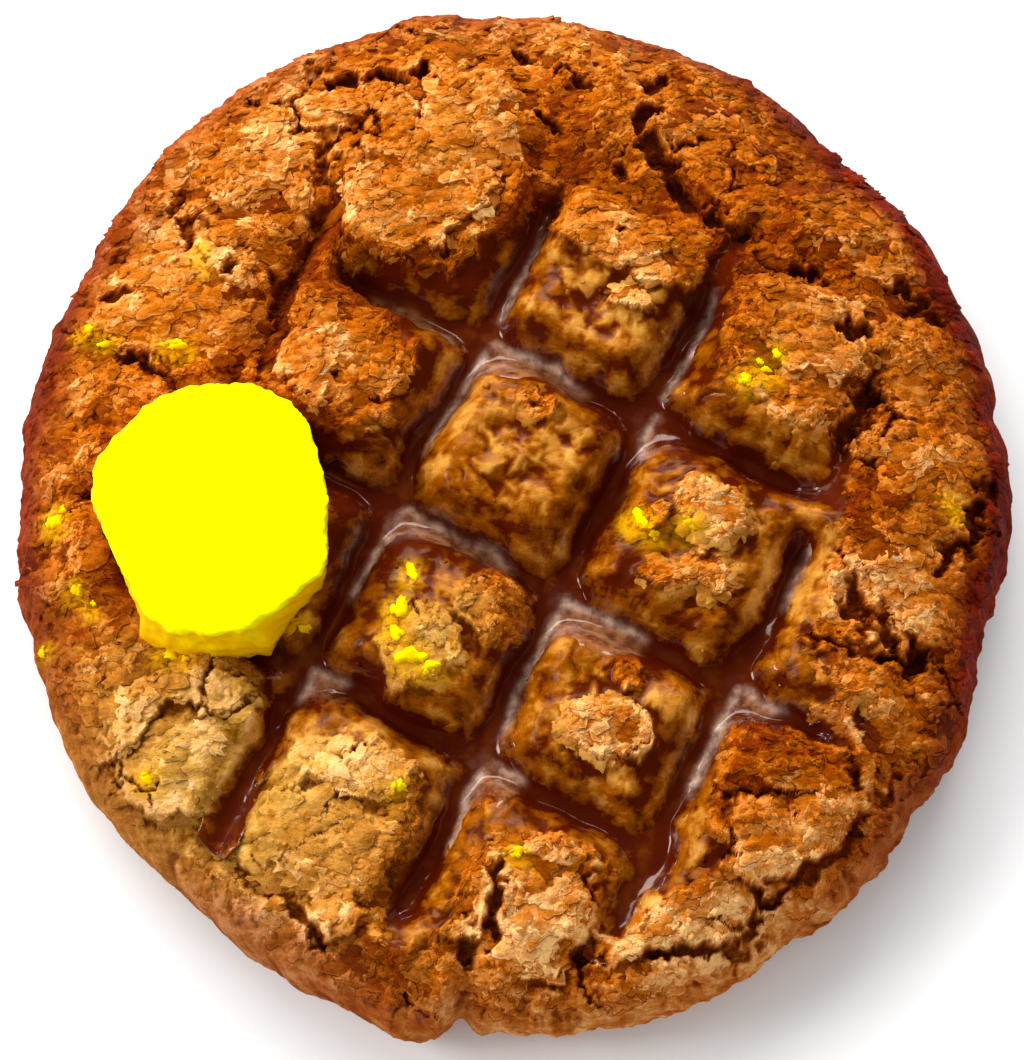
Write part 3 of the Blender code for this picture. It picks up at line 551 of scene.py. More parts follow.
def gradient_noise(x, y, seed):
    """Smooth noise, about -1 to 1, with one feature for each unit."""
    column, row = np.floor(x), np.floor(y)
    part_x, part_y = x - column, y - row
    ease_x = part_x ** 3 * (part_x * (part_x * 6.0 - 15.0) + 10.0)
    ease_y = part_y ** 3 * (part_y * (part_y * 6.0 - 15.0) + 10.0)

    def corner(right, up):
        turn = 2.0 * pi * hashed(column + right, row + up, seed)
        return np.cos(turn) * (part_x - right) + np.sin(turn) * (part_y - up)

    low = blend(ease_x, corner(0, 0), corner(1, 0))
    high = blend(ease_x, corner(0, 1), corner(1, 1))
    return 1.5 * blend(ease_y, low, high)


def layered_noise(x, y, size, seed, octaves=4, gain=0.55):
    """Noise with finer and finer features, the largest of a size."""
    total = np.zeros_like(x)
    weight = 1.0
    for octave in range(octaves):
        scale = 2.03 ** octave / size
        away_x, away_y = x * scale + 17.0 * octave, y * scale - 9.0 * octave
        total = total + weight * gradient_noise(away_x, away_y, seed + octave)
        weight *= gain
    return total


def wandering(x, y, amount, size, octaves, gain, seeds):
    """Two fields of noise, by which edges wander in x and in y."""
    return [amount * layered_noise(x, y, size, seed, octaves, gain) for seed in seeds]


def cells(x, y, size, seed):
    """The nearest of many jittered points: distance to it and to the next, its draw, and its lean here."""
    x, y = x / size, y / size
    column, row = np.floor(x), np.floor(y)
    first, second = np.full_like(x, 9.0), np.full_like(x, 9.0)
    draw, tilt = np.zeros_like(x), np.zeros_like(x)
    for right in (-1, 0, 1):
        for up in (-1, 0, 1):
            away_x = column + right + hashed(column + right, row + up, seed) - x
            away_y = row + up + hashed(column + right, row + up, seed + 5) - y
            away = np.hypot(away_x, away_y)
            nearer = away < first
            second = np.where(nearer, first, np.minimum(second, away))
            own = hashed(column + right, row + up, seed + 11)
            lean = 2.0 * pi * hashed(column + right, row + up, seed + 17)
            draw = np.where(nearer, own, draw)
            tilt = np.where(nearer, away_x * np.cos(lean) + away_y * np.sin(lean), tilt)
            first = np.where(nearer, away, first)
    return first, second, draw, tilt


def softened(field, radius):
    """A map blurred over a radius, by three box means each way."""
    reach = max(1, round(radius / MAP_STEP / 1.7))
    width = 2 * reach + 1
    for _ in range(3):
        for axis in (0, 1):
            padding = [(reach + 1, reach) if i == axis else (0, 0) for i in (0, 1)]
            run = np.cumsum(np.pad(field, padding, mode="edge"), axis=axis)
            after = np.take(run, range(width, run.shape[axis]), axis=axis)
            before = np.take(run, range(0, run.shape[axis] - width), axis=axis)
            field = (after - before) / width
    return field


def at_places(field, x, y):
    """Read a map at places between its samples."""
    last = field.shape[0] - 1.001
    column = np.clip((x + MAP_HALF) / MAP_STEP, 0.0, last)
    row = np.clip((y + MAP_HALF) / MAP_STEP, 0.0, last)
    i, j = column.astype(int), row.astype(int)
    part_i, part_j = column - i, row - j
    low = blend(part_i, field[j, i], field[j, i + 1])
    high = blend(part_i, field[j + 1, i], field[j + 1, i + 1])
    return blend(part_j, low, high)


def outline_radius(angle):
    """Distance from the middle to the rim's widest line in each direction."""
    half_x, half_y = WIDTH_X / 2, WIDTH_Y / 2
    radius = half_x * half_y / np.hypot(half_y * np.cos(angle), half_x * np.sin(angle))
    for waves, amplitude, phase in OUTLINE_WAVES:
        radius = radius + amplitude * np.cos(waves * (angle - radians(phase)))
    for direction, half_width, swell in OUTLINE_MARKS:
        away = (angle - radians(direction) + pi) % (2 * pi) - pi
        radius = radius + swell * bell(away / radians(half_width))
    return radius


def crown_height(reach):
    """Height of the blank's top at a part of the way from the middle to the rim."""
    fall = limited(1.0 - np.abs(reach) ** CROWN_FULLNESS) ** 0.5
    return BULGE_HEIGHT + (CROWN_HEIGHT - BULGE_HEIGHT) * fall


def pale_share(x, y):
    """Where the crust baked paler and lies in larger plates."""
    share = 0.0
    for mid_x, mid_y, half_x, half_y, amount in PALE_SPOTS:
        off_x, off_y = (x - mid_x * MM) / (half_x * MM), (y - mid_y * MM) / (half_y * MM)
        share = share + amount * np.exp(-(off_x ** 2 + off_y ** 2))
    return share


def press_frame(x, y):
    """Coordinates in the press's own directions."""
    return turned(x, y, -PRESS_TURN)


def press_mask(x, y, least=0.0):
    """How far bars of at least a strength have sunk the crust: 0 untouched, 1 down to the groove floor."""
    u, v = press_frame(x, y)
    mask, corner = np.zeros_like(x), np.ones_like(x)
    wall = (GROOVE_SHOULDER_WIDTH - GROOVE_FLOOR_WIDTH) / 2
    for across, along, bars in ((u, v, BARS_ALONG_V), (v, u, BARS_ALONG_U)):
        before, close = mask, np.zeros_like(x)
        for offset, drift, start, end, strength in bars:
            if strength < least:
                continue
            distance = np.abs(across - offset - drift * along)
            climb = (GROOVE_SHOULDER_WIDTH / 2 - distance) / wall
            run = smooth_step(start, start + GROOVE_FADE, along)
            run = run * (1.0 - smooth_step(end - GROOVE_FADE, end, along))
            mark = strength * limited(climb) ** GROOVE_WALL_CURVE * run
            both = before + mark - before * mark
            mask = np.maximum(mask, blend(GROOVE_CROSSING, np.maximum(before, mark), both))
            close = np.maximum(close, strength * run * bell(distance / CORNER_REACH))
        corner = corner * close
    return mask + CORNER_SINK * corner * (1.0 - mask)


def full_bars(x, y):
    """Each full bar: 1 along v or -1 along u, how far past its middle and along it, its start and its end."""
    u, v = press_frame(x, y)
    for side, across, along, bars in ((1.0, u, v, BARS_ALONG_V), (-1.0, v, u, BARS_ALONG_U)):
        for offset, drift, start, end, strength in bars:
            if strength == 1.0:
                yield side, across - offset - drift * along, along, start, end


def groove_distance(x, y):
    """Distance to the middle of the nearest full groove, rounded where two grooves cross."""
    nearness = np.zeros_like(x)
    for _, past, along, start, end in full_bars(x, y):
        beyond = np.maximum(np.maximum(start + GROOVE_SHORT - along, along - end + GROOVE_SHORT), 0.0)
        nearness = nearness + np.exp(-np.hypot(past, beyond) / CROSSING_ROUND)
    return np.maximum(-CROSSING_ROUND * np.log(nearness + 1e-12), 0.0)


def beyond_grooves(x, y):
    """Where films can hang beside the full grooves, the painted highlight along the films' brink, and the
    walls in shade.
    """
    share = np.ones_like(x)
    brink, shaded, thin, sheet = (np.zeros_like(x) for _ in range(4))
    for side, past, along, start, end in full_bars(x, y):
        past = side * past
        inside = (along > start) & (along < end)
        first = FILM_START_V if side > 0.0 else FILM_START_U
        hung = smooth_step(first, first + FILM_RAMP, past)
        share = share * (1.0 - smooth_step(*FILM_BARE, past) * (1.0 - hung) * inside)
        far = 1.0 - smooth_step(*FILM_REACH, past)
        if side > 0.0:
            thin = np.maximum(thin, inside * smooth_step(first + FILM_RAMP, first + FILM_BAND, past) * far)
        else:
            sheet = np.maximum(sheet, inside * hung * far)
        shaded = np.maximum(shaded, inside * bell((past + SHADED_WALL) / SHADED_WIDTH))
        brink = np.maximum(brink, inside * bell((past - first - FILM_RAMP) / FILM_HIGHLIGHT_WIDTH))
    return share * (1.0 - FILM_THINNING * thin * (1.0 - sheet)), brink, shaded


def bump_lift(x, y):
    """A height and a tilt for each square between the bars."""
    u, v = press_frame(x, y)
    first_u, first_v = BARS_ALONG_V[0][0], BARS_ALONG_U[-1][0]
    column = np.floor((u - first_u) / PRESS_PITCH)
    row = np.floor((v - first_v) / PRESS_PITCH)
    draw = np.random.default_rng(BUMP_SEED)
    lift = np.zeros_like(x)
    for i in BUMP_RANGE:
        for j in BUMP_RANGE:
            height, tilt_u, tilt_v = draw.uniform(-1.0, 1.0, 3)
            here = (column == i) & (row == j)
            mid_u = first_u + (i + 0.5) * PRESS_PITCH
            mid_v = first_v + (j + 0.5) * PRESS_PITCH
            tilt = BUMP_TILT * (tilt_u * (u - mid_u) + tilt_v * (v - mid_v))
            lift = np.where(here, height * BUMP_LIFT + tilt, lift)
    return lift * (1.0 - smooth_step(*BUMP_FADE, np.hypot(x / (WIDTH_X / 2), y / (WIDTH_Y / 2))))


def oval_reach(x, y, mid_x, mid_y, length, width, turn, squareness=3.0):
    """Distance from an oval's middle, 1 on its edge; sizes in millimetres."""
    along, across = turned(x / MM - mid_x, y / MM - mid_y, -radians(turn))
    return (np.abs(along / length) ** squareness + np.abs(across / width) ** squareness) ** (1 / squareness)


def distance_to_line(x, y, points):
    """Distance from each place to a chain of straight segments given in millimetres."""
    nearest = np.full_like(x, np.inf)
    for (ax, ay), (bx, by) in zip(points, points[1:]):
        run_x, run_y = (bx - ax) * MM, (by - ay) * MM
        part = ((x - ax * MM) * run_x + (y - ay * MM) * run_y) / (run_x ** 2 + run_y ** 2)
        part = limited(part)
        nearest = np.minimum(nearest, np.hypot(x - ax * MM - part * run_x, y - ay * MM - part * run_y))
    return nearest


def beside_line(x, y, points):
    """How far right of a chain of segments in millimetres, or left below 0, and the way to its nearer end."""
    ends = np.array(points) * MM
    lengths = np.hypot(*np.diff(ends, axis=0).T)
    nearest, away_right, along = np.full_like(x, np.inf), np.zeros_like(x), np.zeros_like(x)
    walked = 0.0
    for start, stop, length in zip(ends, ends[1:], lengths):
        run_x, run_y = (stop - start) / length
        off_x, off_y = x - start[0], y - start[1]
        part = np.clip(off_x * run_x + off_y * run_y, 0.0, length)
        right = off_x * run_y - off_y * run_x
        away = np.hypot(off_x - part * run_x, off_y - part * run_y)
        # Of two segments that meet in the nearest point, the one that lies more squarely opposite wins
        ranked = away - 0.001 * np.abs(right)
        nearer = ranked < nearest
        nearest = np.where(nearer, ranked, nearest)
        away_right = np.where(nearer, np.sign(right) * away, away_right)
        along = np.where(nearer, walked + part, along)
        walked += length
    return away_right, np.minimum(along, walked - along)


class CrustMap:
    """Heights and finishes of the whole top, worked out on one grid of samples."""

    def __init__(self):
        line = np.arange(-MAP_HALF, MAP_HALF + MAP_STEP / 2, MAP_STEP)
        self.place = x, y = np.meshgrid(line, line)
        self.reach = np.hypot(x, y) / outline_radius(np.arctan2(y, x))
        serrated, bent, torn, sway = (wandering(x, y, *kind) for kind in (SERRATED, BENT, TORN, SWAY))
        ragged = moved(self.place, (1.0, serrated), (1.0, bent))
        jagged = moved(self.place, (1.0, torn), (0.35, bent))
        wavy = moved(self.place, (1.0, sway), (0.35, bent), (0.5, torn))
        self.sunk = press_mask(*moved(self.place, (0.8, bent[::-1]), (1.0, sway)))
        self.wet = self.wetness(ragged)
        self.height = self.soaked(self.baked(ragged, jagged), moved(self.place, (1.0, bent)))
        self.meniscus = self.climbed(groove_distance(*moved(self.place, (1.0, sway), (0.6, bent))))
        share, brink, _ = beyond_grooves(*wavy)
        self.film = self.films(wavy) * share
        # The films' painted highlight along their brink
        self.film_line = self.film * brink
        self.glaze = softened(self.height, GLAZE_SOFTNESS)
        self.height = blend(self.film, self.height, np.minimum(self.height, self.glaze - FILM_DEPTH))
        self.ground = softened(self.height, GROUND_SOFTNESS)
        self.edge, self.recess = self.hollows()
        self.shade = softened(self.recess, SHADE_SOFTNESS)
        self.tone = self.tones()
        self.stain = self.stains(ragged)

    def baked(self, ragged, jagged):
        """Height of the dry crust: the blank with plates, layers, shards, ledges and cracks, then pressed."""
        x, y = self.place
        self.plate, lift = self.plates(ragged)
        shards, self.shard_tone = self.shards(ragged)
        ledges, self.ledge_tone, self.ledge_shadow = self.ledges(jagged)
        rough = blend(self.wet, 1.0, ROUGH_WHERE_WET) * blend(self.plate, 1.0, ROUGH_ON_PLATES)
        rough = rough * (1.0 - SMOOTH_WHERE_PALE * np.minimum(pale_share(x, y), 1.0))
        crust = crown_height(np.minimum(self.reach, 1.0)) + bump_lift(x, y)
        crust = crust + SWELL_HEIGHT * layered_noise(x, y, SWELL_SIZE, 61, 2)
        self.crack = (1.0 - self.sunk) ** 2 * self.cracks(jagged)
        broken = ledges * (1.0 - 0.7 * self.sunk)
        island = (1.0 - self.wet) * (1.0 - smooth_step(*ISLAND_FADE, self.reach))
        crust = crust + lift + rough * (self.layers(ragged) + shards)
        crust = crust + broken - self.crack + ISLAND_LIFT * island
        floor = GROOVE_FLOOR_Z + FLOOR_WAVE * layered_noise(x, y, FLOOR_WAVE_SIZE, 97, 3)
        return crust + self.sunk * (np.minimum(floor, crust) - crust)

    def soaked(self, dry, bent):
        """Height of the crust once syrup has softened it into lumps with creases between them."""
        fold = np.abs(layered_noise(*bent, LUMP_SIZE, 53, 3))
        # Creases between the lumps, later painted darker as shade
        self.crease_shade = limited(1.0 - fold / CREASE_WIDTH)
        swell = LUMP_SWELL * layered_noise(*self.place, LUMP_SWELL_SIZE, 59, 2)
        lumps = LUMP_HEIGHT * (fold - FOLD_MEAN) + swell
        smooth = softened(dry, SOAKED_SOFTNESS) + lumps * (1.0 - self.sunk)
        return blend(SOAKED_SHARE * self.wet, dry, smooth)

    def hollows(self):
        """How far each place stands proud of the crust round it, and how far it lies in a hollow or in the
        gap below a ledge, the share of painted shade.
        """
        near, wide = softened(self.height, EDGE_SOFTNESS), softened(self.height, HOLLOW_SOFTNESS)
        proud = limited((self.height - near) / EDGE_HEIGHT)
        pitted = limited((near - self.height) / EDGE_HEIGHT)
        below = limited((wide - self.height) / HOLLOW_DEPTH) * (1.0 - self.sunk)
        return proud, limited(0.8 * pitted + below + self.ledge_shadow * (1.0 - 0.5 * self.wet))

    def ledges(self, place):
        """Steps where one layer broke off above another: rise, tone lighter above the break with painted
        shade below it, and the painted shadow in the gap below.
        """
        rise, tone, dark = (np.zeros_like(place[0]) for _ in range(3))
        for drop, points in LEDGES:
            right, end = beside_line(*place, points)
            share = smooth_step(0.0, LEDGE_ENDS, end)
            over = smooth_step(*LEDGE_EDGE, right)
            low = share * over * np.exp(-np.maximum(right, 0.0) / LEDGE_FALL)
            high = share * (1.0 - over) * np.exp(np.minimum(right, 0.0) / LEDGE_FALL)
            rise = rise + LEDGE_RISE * drop * MM * (LEDGE_CURL * high - low)
            # Lighter above the break, partly paler broken crumb and partly painted light, and painted shade
            # on the layer below
            tone = tone + 0.12 * high ** 3 - 0.40 * min(drop, 1.2) * low ** 2
            # The gap below the break is painted dark as a shadow
            gap = share * (right > 0.0) * limited(1.4 - right / LEDGE_SHADOW_WIDTH)
            dark = np.maximum(dark, min(drop, 1.0) * gap)
        return rise, tone, dark

    def climbed(self, away):
        """How far the syrup has climbed above its level, at a distance from a groove's middle."""
        near = np.minimum(away, SYRUP_CLIMB)
        slope = 2 * SYRUP_CURVE * SYRUP_CLIMB
        far = np.maximum(away - SYRUP_CLIMB, 0.0)
        steeper = np.maximum(far - SYRUP_EVEN, 0.0)
        return SYRUP_CURVE * near ** 2 + slope * far + SYRUP_STEEPER * steeper ** 2

    def plates(self, place):
        """Proud plates with ragged edges: the share on top of one, and the lift."""
        share, lift = np.zeros_like(place[0]), np.zeros_like(place[0])
        for *oval, high in PLATES:
            on = 1.0 - smooth_step(*PLATE_EDGE, oval_reach(*place, *oval))
            share = np.maximum(share, on)
            lift = np.maximum(lift, on * high * MM)
        return share, lift

    def layers(self, place):
        """Thin layers broken off at ragged lines, one above another."""
        upper = self.steps(layered_noise(*place, LAYER_SIZE, 67, 4, 0.6), LAYER_STEPS, LAYER_EDGE)
        self.upper = upper / len(LAYER_STEPS)
        small = layered_noise(*place, SMALL_LAYER_SIZE, 71, 4, 0.6)
        small = self.steps(small, SMALL_LAYER_STEPS, SMALL_LAYER_EDGE)
        return LAYER_HEIGHT * self.upper + SMALL_LAYER_HEIGHT * small

    def steps(self, field, levels, edge):
        """How many levels a field has climbed, with a narrow edge at each."""
        return sum(smooth_step(level - edge, level + edge, field) for level in levels)

    def shards(self, place):
        """Crumbly shards of three sizes, each at its own height and tilt, and their tone."""
        rise, tone = np.zeros_like(place[0]), np.zeros_like(place[0])
        for size, high, weight, seed in SHARDS:
            first, second, draw, tilt = cells(*place, size, seed)
            rise = rise + high * draw + SHARD_LEAN * size * tilt
            gap = limited(1.0 - (second - first) / SHARD_GAP) * (draw > 0.55)
            rise = rise - 0.8 * high * gap
            tone = tone + weight * draw
        return rise, tone

    def cracks(self, place):
        """Depth of the named cracks and of the fine ones between the flakes."""
        depth = np.zeros_like(place[0])
        pinch = np.maximum(1.0 + PINCH * layered_noise(*place, PINCH_SIZE, 45, 2), PINCHED_MOST)
        for half_width, deepest, points in CRACKS:
            away = distance_to_line(*place, points) / (half_width * MM)
            depth = np.maximum(depth, deepest * MM * limited(1.6 * pinch - 1.2 * away))
        first, second, draw, _ = cells(*place, FINE_CRACK_SPACING, 41)
        width = 0.01 + 0.08 * layered_noise(*place, 13.0 * MM, 43, 2)
        gap = limited(1.4 - 1.4 * (second - first) / np.maximum(width, 0.001))
        return np.maximum(depth, FINE_CRACK_DEPTH * gap * (width > 0.02))

    def wetness(self, place):
        """How far the syrup has soaked and coated the crust."""
        dry = np.zeros_like(place[0])
        for oval in DRY_SPOTS:
            dry = np.maximum(dry, 1.0 - smooth_step(*DRY_EDGE, oval_reach(*place, *oval, DRY_SQUARENESS)))
        u, v = press_frame(*self.place)
        soaked = 1.0 - groove_distance(*self.place) / SOAKED_WALL
        for low_u, high_u, low_v, high_v in SOAKED:
            within = 1.0
            for low, high, along in ((low_u, high_u, u), (low_v, high_v, v)):
                within = within * smooth_step(low - MM, low + MM, along)
                within = within * smooth_step(-high - MM, MM - high, -along)
            soaked = np.maximum(soaked, within)
        noise = 0.12 * layered_noise(*place, 6.0 * MM, 57, 4)
        noise = noise + 0.26 * layered_noise(*place, 2.6 * MM, 58, 3, 0.65)
        inside = 1.0 - smooth_step(*WET_REACH, self.reach)
        wet = smooth_step(*WET_EDGE, soaked * inside - 1.3 * dry + noise)
        pressed = press_mask(*place, least=0.9) * inside
        return np.maximum(wet, smooth_step(0.35, 0.6, pressed + 0.5 * noise))

    def films(self, place):
        """Share of each place that a film of syrup covers."""
        share = np.zeros_like(place[0])
        for oval in SYRUP_FILMS:
            reach = oval_reach(*place, *oval, FILM_SQUARENESS)
            share = np.maximum(share, 1.0 - smooth_step(*FILM_EDGE, reach))
        return share

    def tones(self):
        """Light and dark of the baked crust, 0 to 1, with a painted highlight on proud edges, painted light
        on walls in shade, and painted shade in hollows, below ledges and in creases.
        """
        x, y = self.place
        blotches = layered_noise(x, y, 2.6 * MM, 103, 4, 0.65)
        broad = layered_noise(x, y, 9.0 * MM, 107, 3)
        tone = TONE_MIDDLE + TONE_PLATE * self.plate + TONE_LAYER * (self.upper - 0.5)
        tone = tone + TONE_SHARD * (self.shard_tone - 0.5)
        for mid_x, mid_y, half_x, half_y, amount in TONE_SPOTS:
            off_x, off_y = (x / MM - mid_x) / half_x, (y / MM - mid_y) / half_y
            tone = tone + amount * np.exp(-off_x ** 2 - off_y ** 2)
        islands = (1.0 - self.wet) * (1.0 - smooth_step(0.45, 0.7, self.reach))
        tone = tone + TONE_ISLAND * islands + TONE_BLOTCH * blotches + TONE_BROAD * broad
        tone = tone + TONE_EDGE_PALE_AND_LIT * self.edge + TONE_RECESS_SHADE * self.recess + self.ledge_tone
        tone = tone - TONE_CRACK * self.crack / MM + TONE_WET * self.wet * (1.0 - self.sunk)
        beyond, _, shaded = beyond_grooves(x, y)
        lee = bell((groove_distance(x, y) / MM - LEE_MIDDLE) / LEE_WIDTH) * beyond
        # Walls that lie in shade are painted lighter
        tone = tone + TONE_LIGHTER_IN_SHADE * shaded + TONE_SUNK * self.sunk
        # Creases between soaked lumps are painted darker as shade
        return limited(tone + TONE_CREASE_SHADE * self.crease_shade * self.wet + TONE_LEE * lee)

    def stains(self, place):
        """Crust tinted by melted butter, round each flake of it."""
        stain = np.zeros_like(place[0])
        for mid_x, mid_y, half_x, half_y in (*(flake[:4] for flake in BUTTER_FLAKES), *BUTTER_STAINS):
            middle = mid_x + STAIN_SHIFT[0], mid_y + STAIN_SHIFT[1]
            size = half_x + STAIN_SPREAD[0], half_y + STAIN_SPREAD[1]
            reach = oval_reach(*place, *middle, *size, 0.0, 2.0)
            stain = np.maximum(stain, 1.0 - smooth_step(*STAIN_EDGE, reach))
        return stain


MAPS = {}


def crust_map():
    """The crust's map, worked out once."""
    if "crust" not in MAPS:
        MAPS["crust"] = CrustMap()
    return MAPS["crust"]


def grid_faces(index):
    """Four-cornered faces between the numbered points of a grid."""
    return np.stack((index[:-1, :-1], index[:-1, 1:], index[1:, 1:], index[1:, :-1]), axis=-1)


def halved(quads):
    """Each four-cornered face as two triangles."""
    return np.vstack((quads[:, (0, 1, 2)], quads[:, (0, 2, 3)]))


def disc_grid(cells_across):
    """A square grid bent into a disc: reach 0 to 1, direction, faces, and the points round its rim."""
    line = np.linspace(-1.0, 1.0, cells_across + 1)
    a, b = np.meshgrid(line, line)
    wide = np.abs(a) > np.abs(b)
    safe_a, safe_b = np.where(a == 0.0, 1.0, a), np.where(b == 0.0, 1.0, b)
    reach = np.where(wide, a, b)
    turn = np.where(wide, pi / 4 * b / safe_a, pi / 2 - pi / 4 * a / safe_b)
    turn = np.where((a == 0.0) & (b == 0.0), 0.0, turn)
    turn = np.where(reach < 0.0, turn + pi, turn)
    index = np.arange(a.size).reshape(a.shape)
    rim = np.concatenate((index[0, :-1], index[:-1, -1], index[-1, :0:-1], index[:0:-1, 0]))
    return np.abs(reach).ravel(), turn.ravel(), grid_faces(index).reshape(-1, 4), rim


def blank_side(along):
    """Radius, as part of the outline, and height of the blank's outer side at parts of its length."""
    radius = WIDTH_X / 2
    turn = np.linspace(0.0, pi / 2, 400)
    reach, turn = np.sin(turn), turn[1:]
    out = np.concatenate((radius * reach, radius - BASE_INSET * (1.0 - np.cos(turn))))
    high = np.concatenate((crown_height(reach), BULGE_HEIGHT * (1.0 - np.sin(turn))))
    walked = np.concatenate(((0.0,), np.cumsum(np.hypot(np.diff(out), np.diff(high)))))
    stops = along * walked[-1]
    return np.interp(stops, walked, out) / radius, np.interp(stops, walked, high)


def mesh_from_arrays(name, points, faces):
    """Make a mesh from arrays of points and of faces with the same number of corners."""
    mesh = bpy.data.meshes.new(name)
    mesh.vertices.add(len(points))
    mesh.vertices.foreach_set("co", np.asarray(points, dtype=np.float32).ravel())
    corners = faces.shape[1]
    mesh.loops.add(faces.size)
    mesh.loops.foreach_set("vertex_index", faces.astype(np.int32).ravel())
    mesh.polygons.add(len(faces))
    mesh.polygons.foreach_set("loop_start", np.arange(0, faces.size, corners, dtype=np.int32))
    mesh.polygons.foreach_set("loop_total", np.full(len(faces), corners, dtype=np.int32))
    mesh.update(calc_edges=True)
    mesh.validate()
    return mesh


def mesh_points(mesh):
    """A mesh's vertices as an array."""
    points = np.empty(len(mesh.vertices) * 3)
    mesh.vertices.foreach_get("co", points)
    return points.reshape(-1, 3)


def give_mask(mesh, name, values):
    """Store a number for each vertex under a name that materials can read."""
    mask = mesh.attributes.get(name) or mesh.attributes.new(name, "FLOAT", "POINT")
    mask.data.foreach_set("value", np.asarray(values, dtype=np.float32))


def add_piece(name, mesh, material, nodes=()):
    """Put a mesh in the scene as a piece that rides on the part and stands for its nodes."""
    mesh.name = name
    mesh.materials.clear()
    mesh.materials.append(material)
    piece = bpy.data.objects.new(name, mesh)
    bpy.context.scene.collection.objects.link(piece)
    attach(piece, "root")
    if nodes:
        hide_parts(*nodes)


def thinned(mesh, triangles):
    """The mesh with fewer faces, kept where the form turns most."""
    whole = sum(len(face.vertices) - 2 for face in mesh.polygons)
    if whole <= triangles:
        return mesh
    body = bpy.data.objects.new("thinning", mesh)
    bpy.context.scene.collection.objects.link(body)
    fewer = body.modifiers.new("Fewer faces", "DECIMATE")
    fewer.ratio = triangles / whole
    depsgraph = bpy.context.evaluated_depsgraph_get()
    result = bpy.data.meshes.new_from_object(body.evaluated_get(depsgraph))
    bpy.data.objects.remove(body, do_unlink=True)
    bpy.data.meshes.remove(mesh)
    return result


def crust_mesh(crust, triangles):
    """The body: the turned blank with the crust's relief on top and crags round the rim."""
    along, turn, faces, rim = disc_grid(CRUST_CELLS)
    reach, height = blank_side(along)
    radius = outline_radius(turn)
    x, y = reach * radius * np.cos(turn), reach * radius * np.sin(turn)
    side = smooth_step(*CRAG_FROM, reach) * smooth_step(0.0, 3.0 * MM, height)
    crag = side * CRAG_DEPTH * layered_noise(x + 0.6 * height, y - 0.8 * height, CRAG_SIZE, 101, 4, 0.6)
    x, y = x + crag * np.cos(turn), y + crag * np.sin(turn)
    relief = blend(1.0 - smooth_step(*RELIEF_FADE, reach), height, at_places(crust.height, x, y))
    height = np.where(height > BULGE_HEIGHT, relief, height)
    points = np.column_stack((x, y, np.maximum(height, 0.0)))
    base = np.column_stack((np.roll(rim, -1), rim, np.full(len(rim), len(points))))
    points = np.vstack((points, ((0.0, 0.0, 0.0),)))
    return thinned(mesh_from_arrays("crust", points, np.vstack((halved(faces), base))), triangles)


def crust_masks(mesh, crust):
    """Give a piece of crust the finishes of the map, and those of the sides that it doesn't reach."""
    x, y, z = mesh_points(mesh).T
    away = np.maximum(np.hypot(x, y), 0.1 * MM)
    reach = away / outline_radius(np.arctan2(y, x))
    inward = np.minimum(1.0, 0.985 / np.maximum(reach, 0.001))
    top = smooth_step(BULGE_HEIGHT - 1.0 * MM, BULGE_HEIGHT + 6.0 * MM, z)
    crag = layered_noise(x + 0.9 * z, y - 0.8 * z, 3.0 * MM, 91, 4, 0.65)
    # On the sides the tone is painted lighter towards the south and darker towards the north, a painted light
    for name, side in (
        ("tone", limited(0.48 + 0.34 * crag - 0.16 * y / away)),
        ("recess", limited(-0.6 * crag - 0.2)),
        ("wet", 0.0),
        ("stain", 0.0),
    ):
        give_mask(mesh, name, blend(top, side, at_places(getattr(crust, name), x * inward, y * inward)))
    broad, fine = layered_noise(x, y, 11.0 * MM, 7, 3), layered_noise(x, y, 3.0 * MM, 17, 2)
    facing, strength = np.array(RIM_BROWNING_AND_SHADE).T
    strength = np.interp(np.degrees(np.arctan2(y, x)), facing, strength, period=360.0)
    # The rim is browned, and darkened further by painted shade that differs by direction
    browned_and_shaded = strength * np.maximum(smooth_step(0.875, 0.98, reach + 0.03 * broad + 0.012 * fine), 1.0 - top)
    # Painted shade towards the east
    east_shade = 0.12 * smooth_step(-0.2, 1.0, x / away) * smooth_step(0.4, 0.7, reach)
    give_mask(mesh, "rim", limited(np.maximum(browned_and_shaded, east_shade)))
    give_mask(mesh, "pale", limited(1.2 * pale_share(x, y) + 0.2 * broad + 0.15 * fine - 0.05))
    give_mask(mesh, "under", 1.0 - smooth_step(0.0, 1.0 * MM, z))


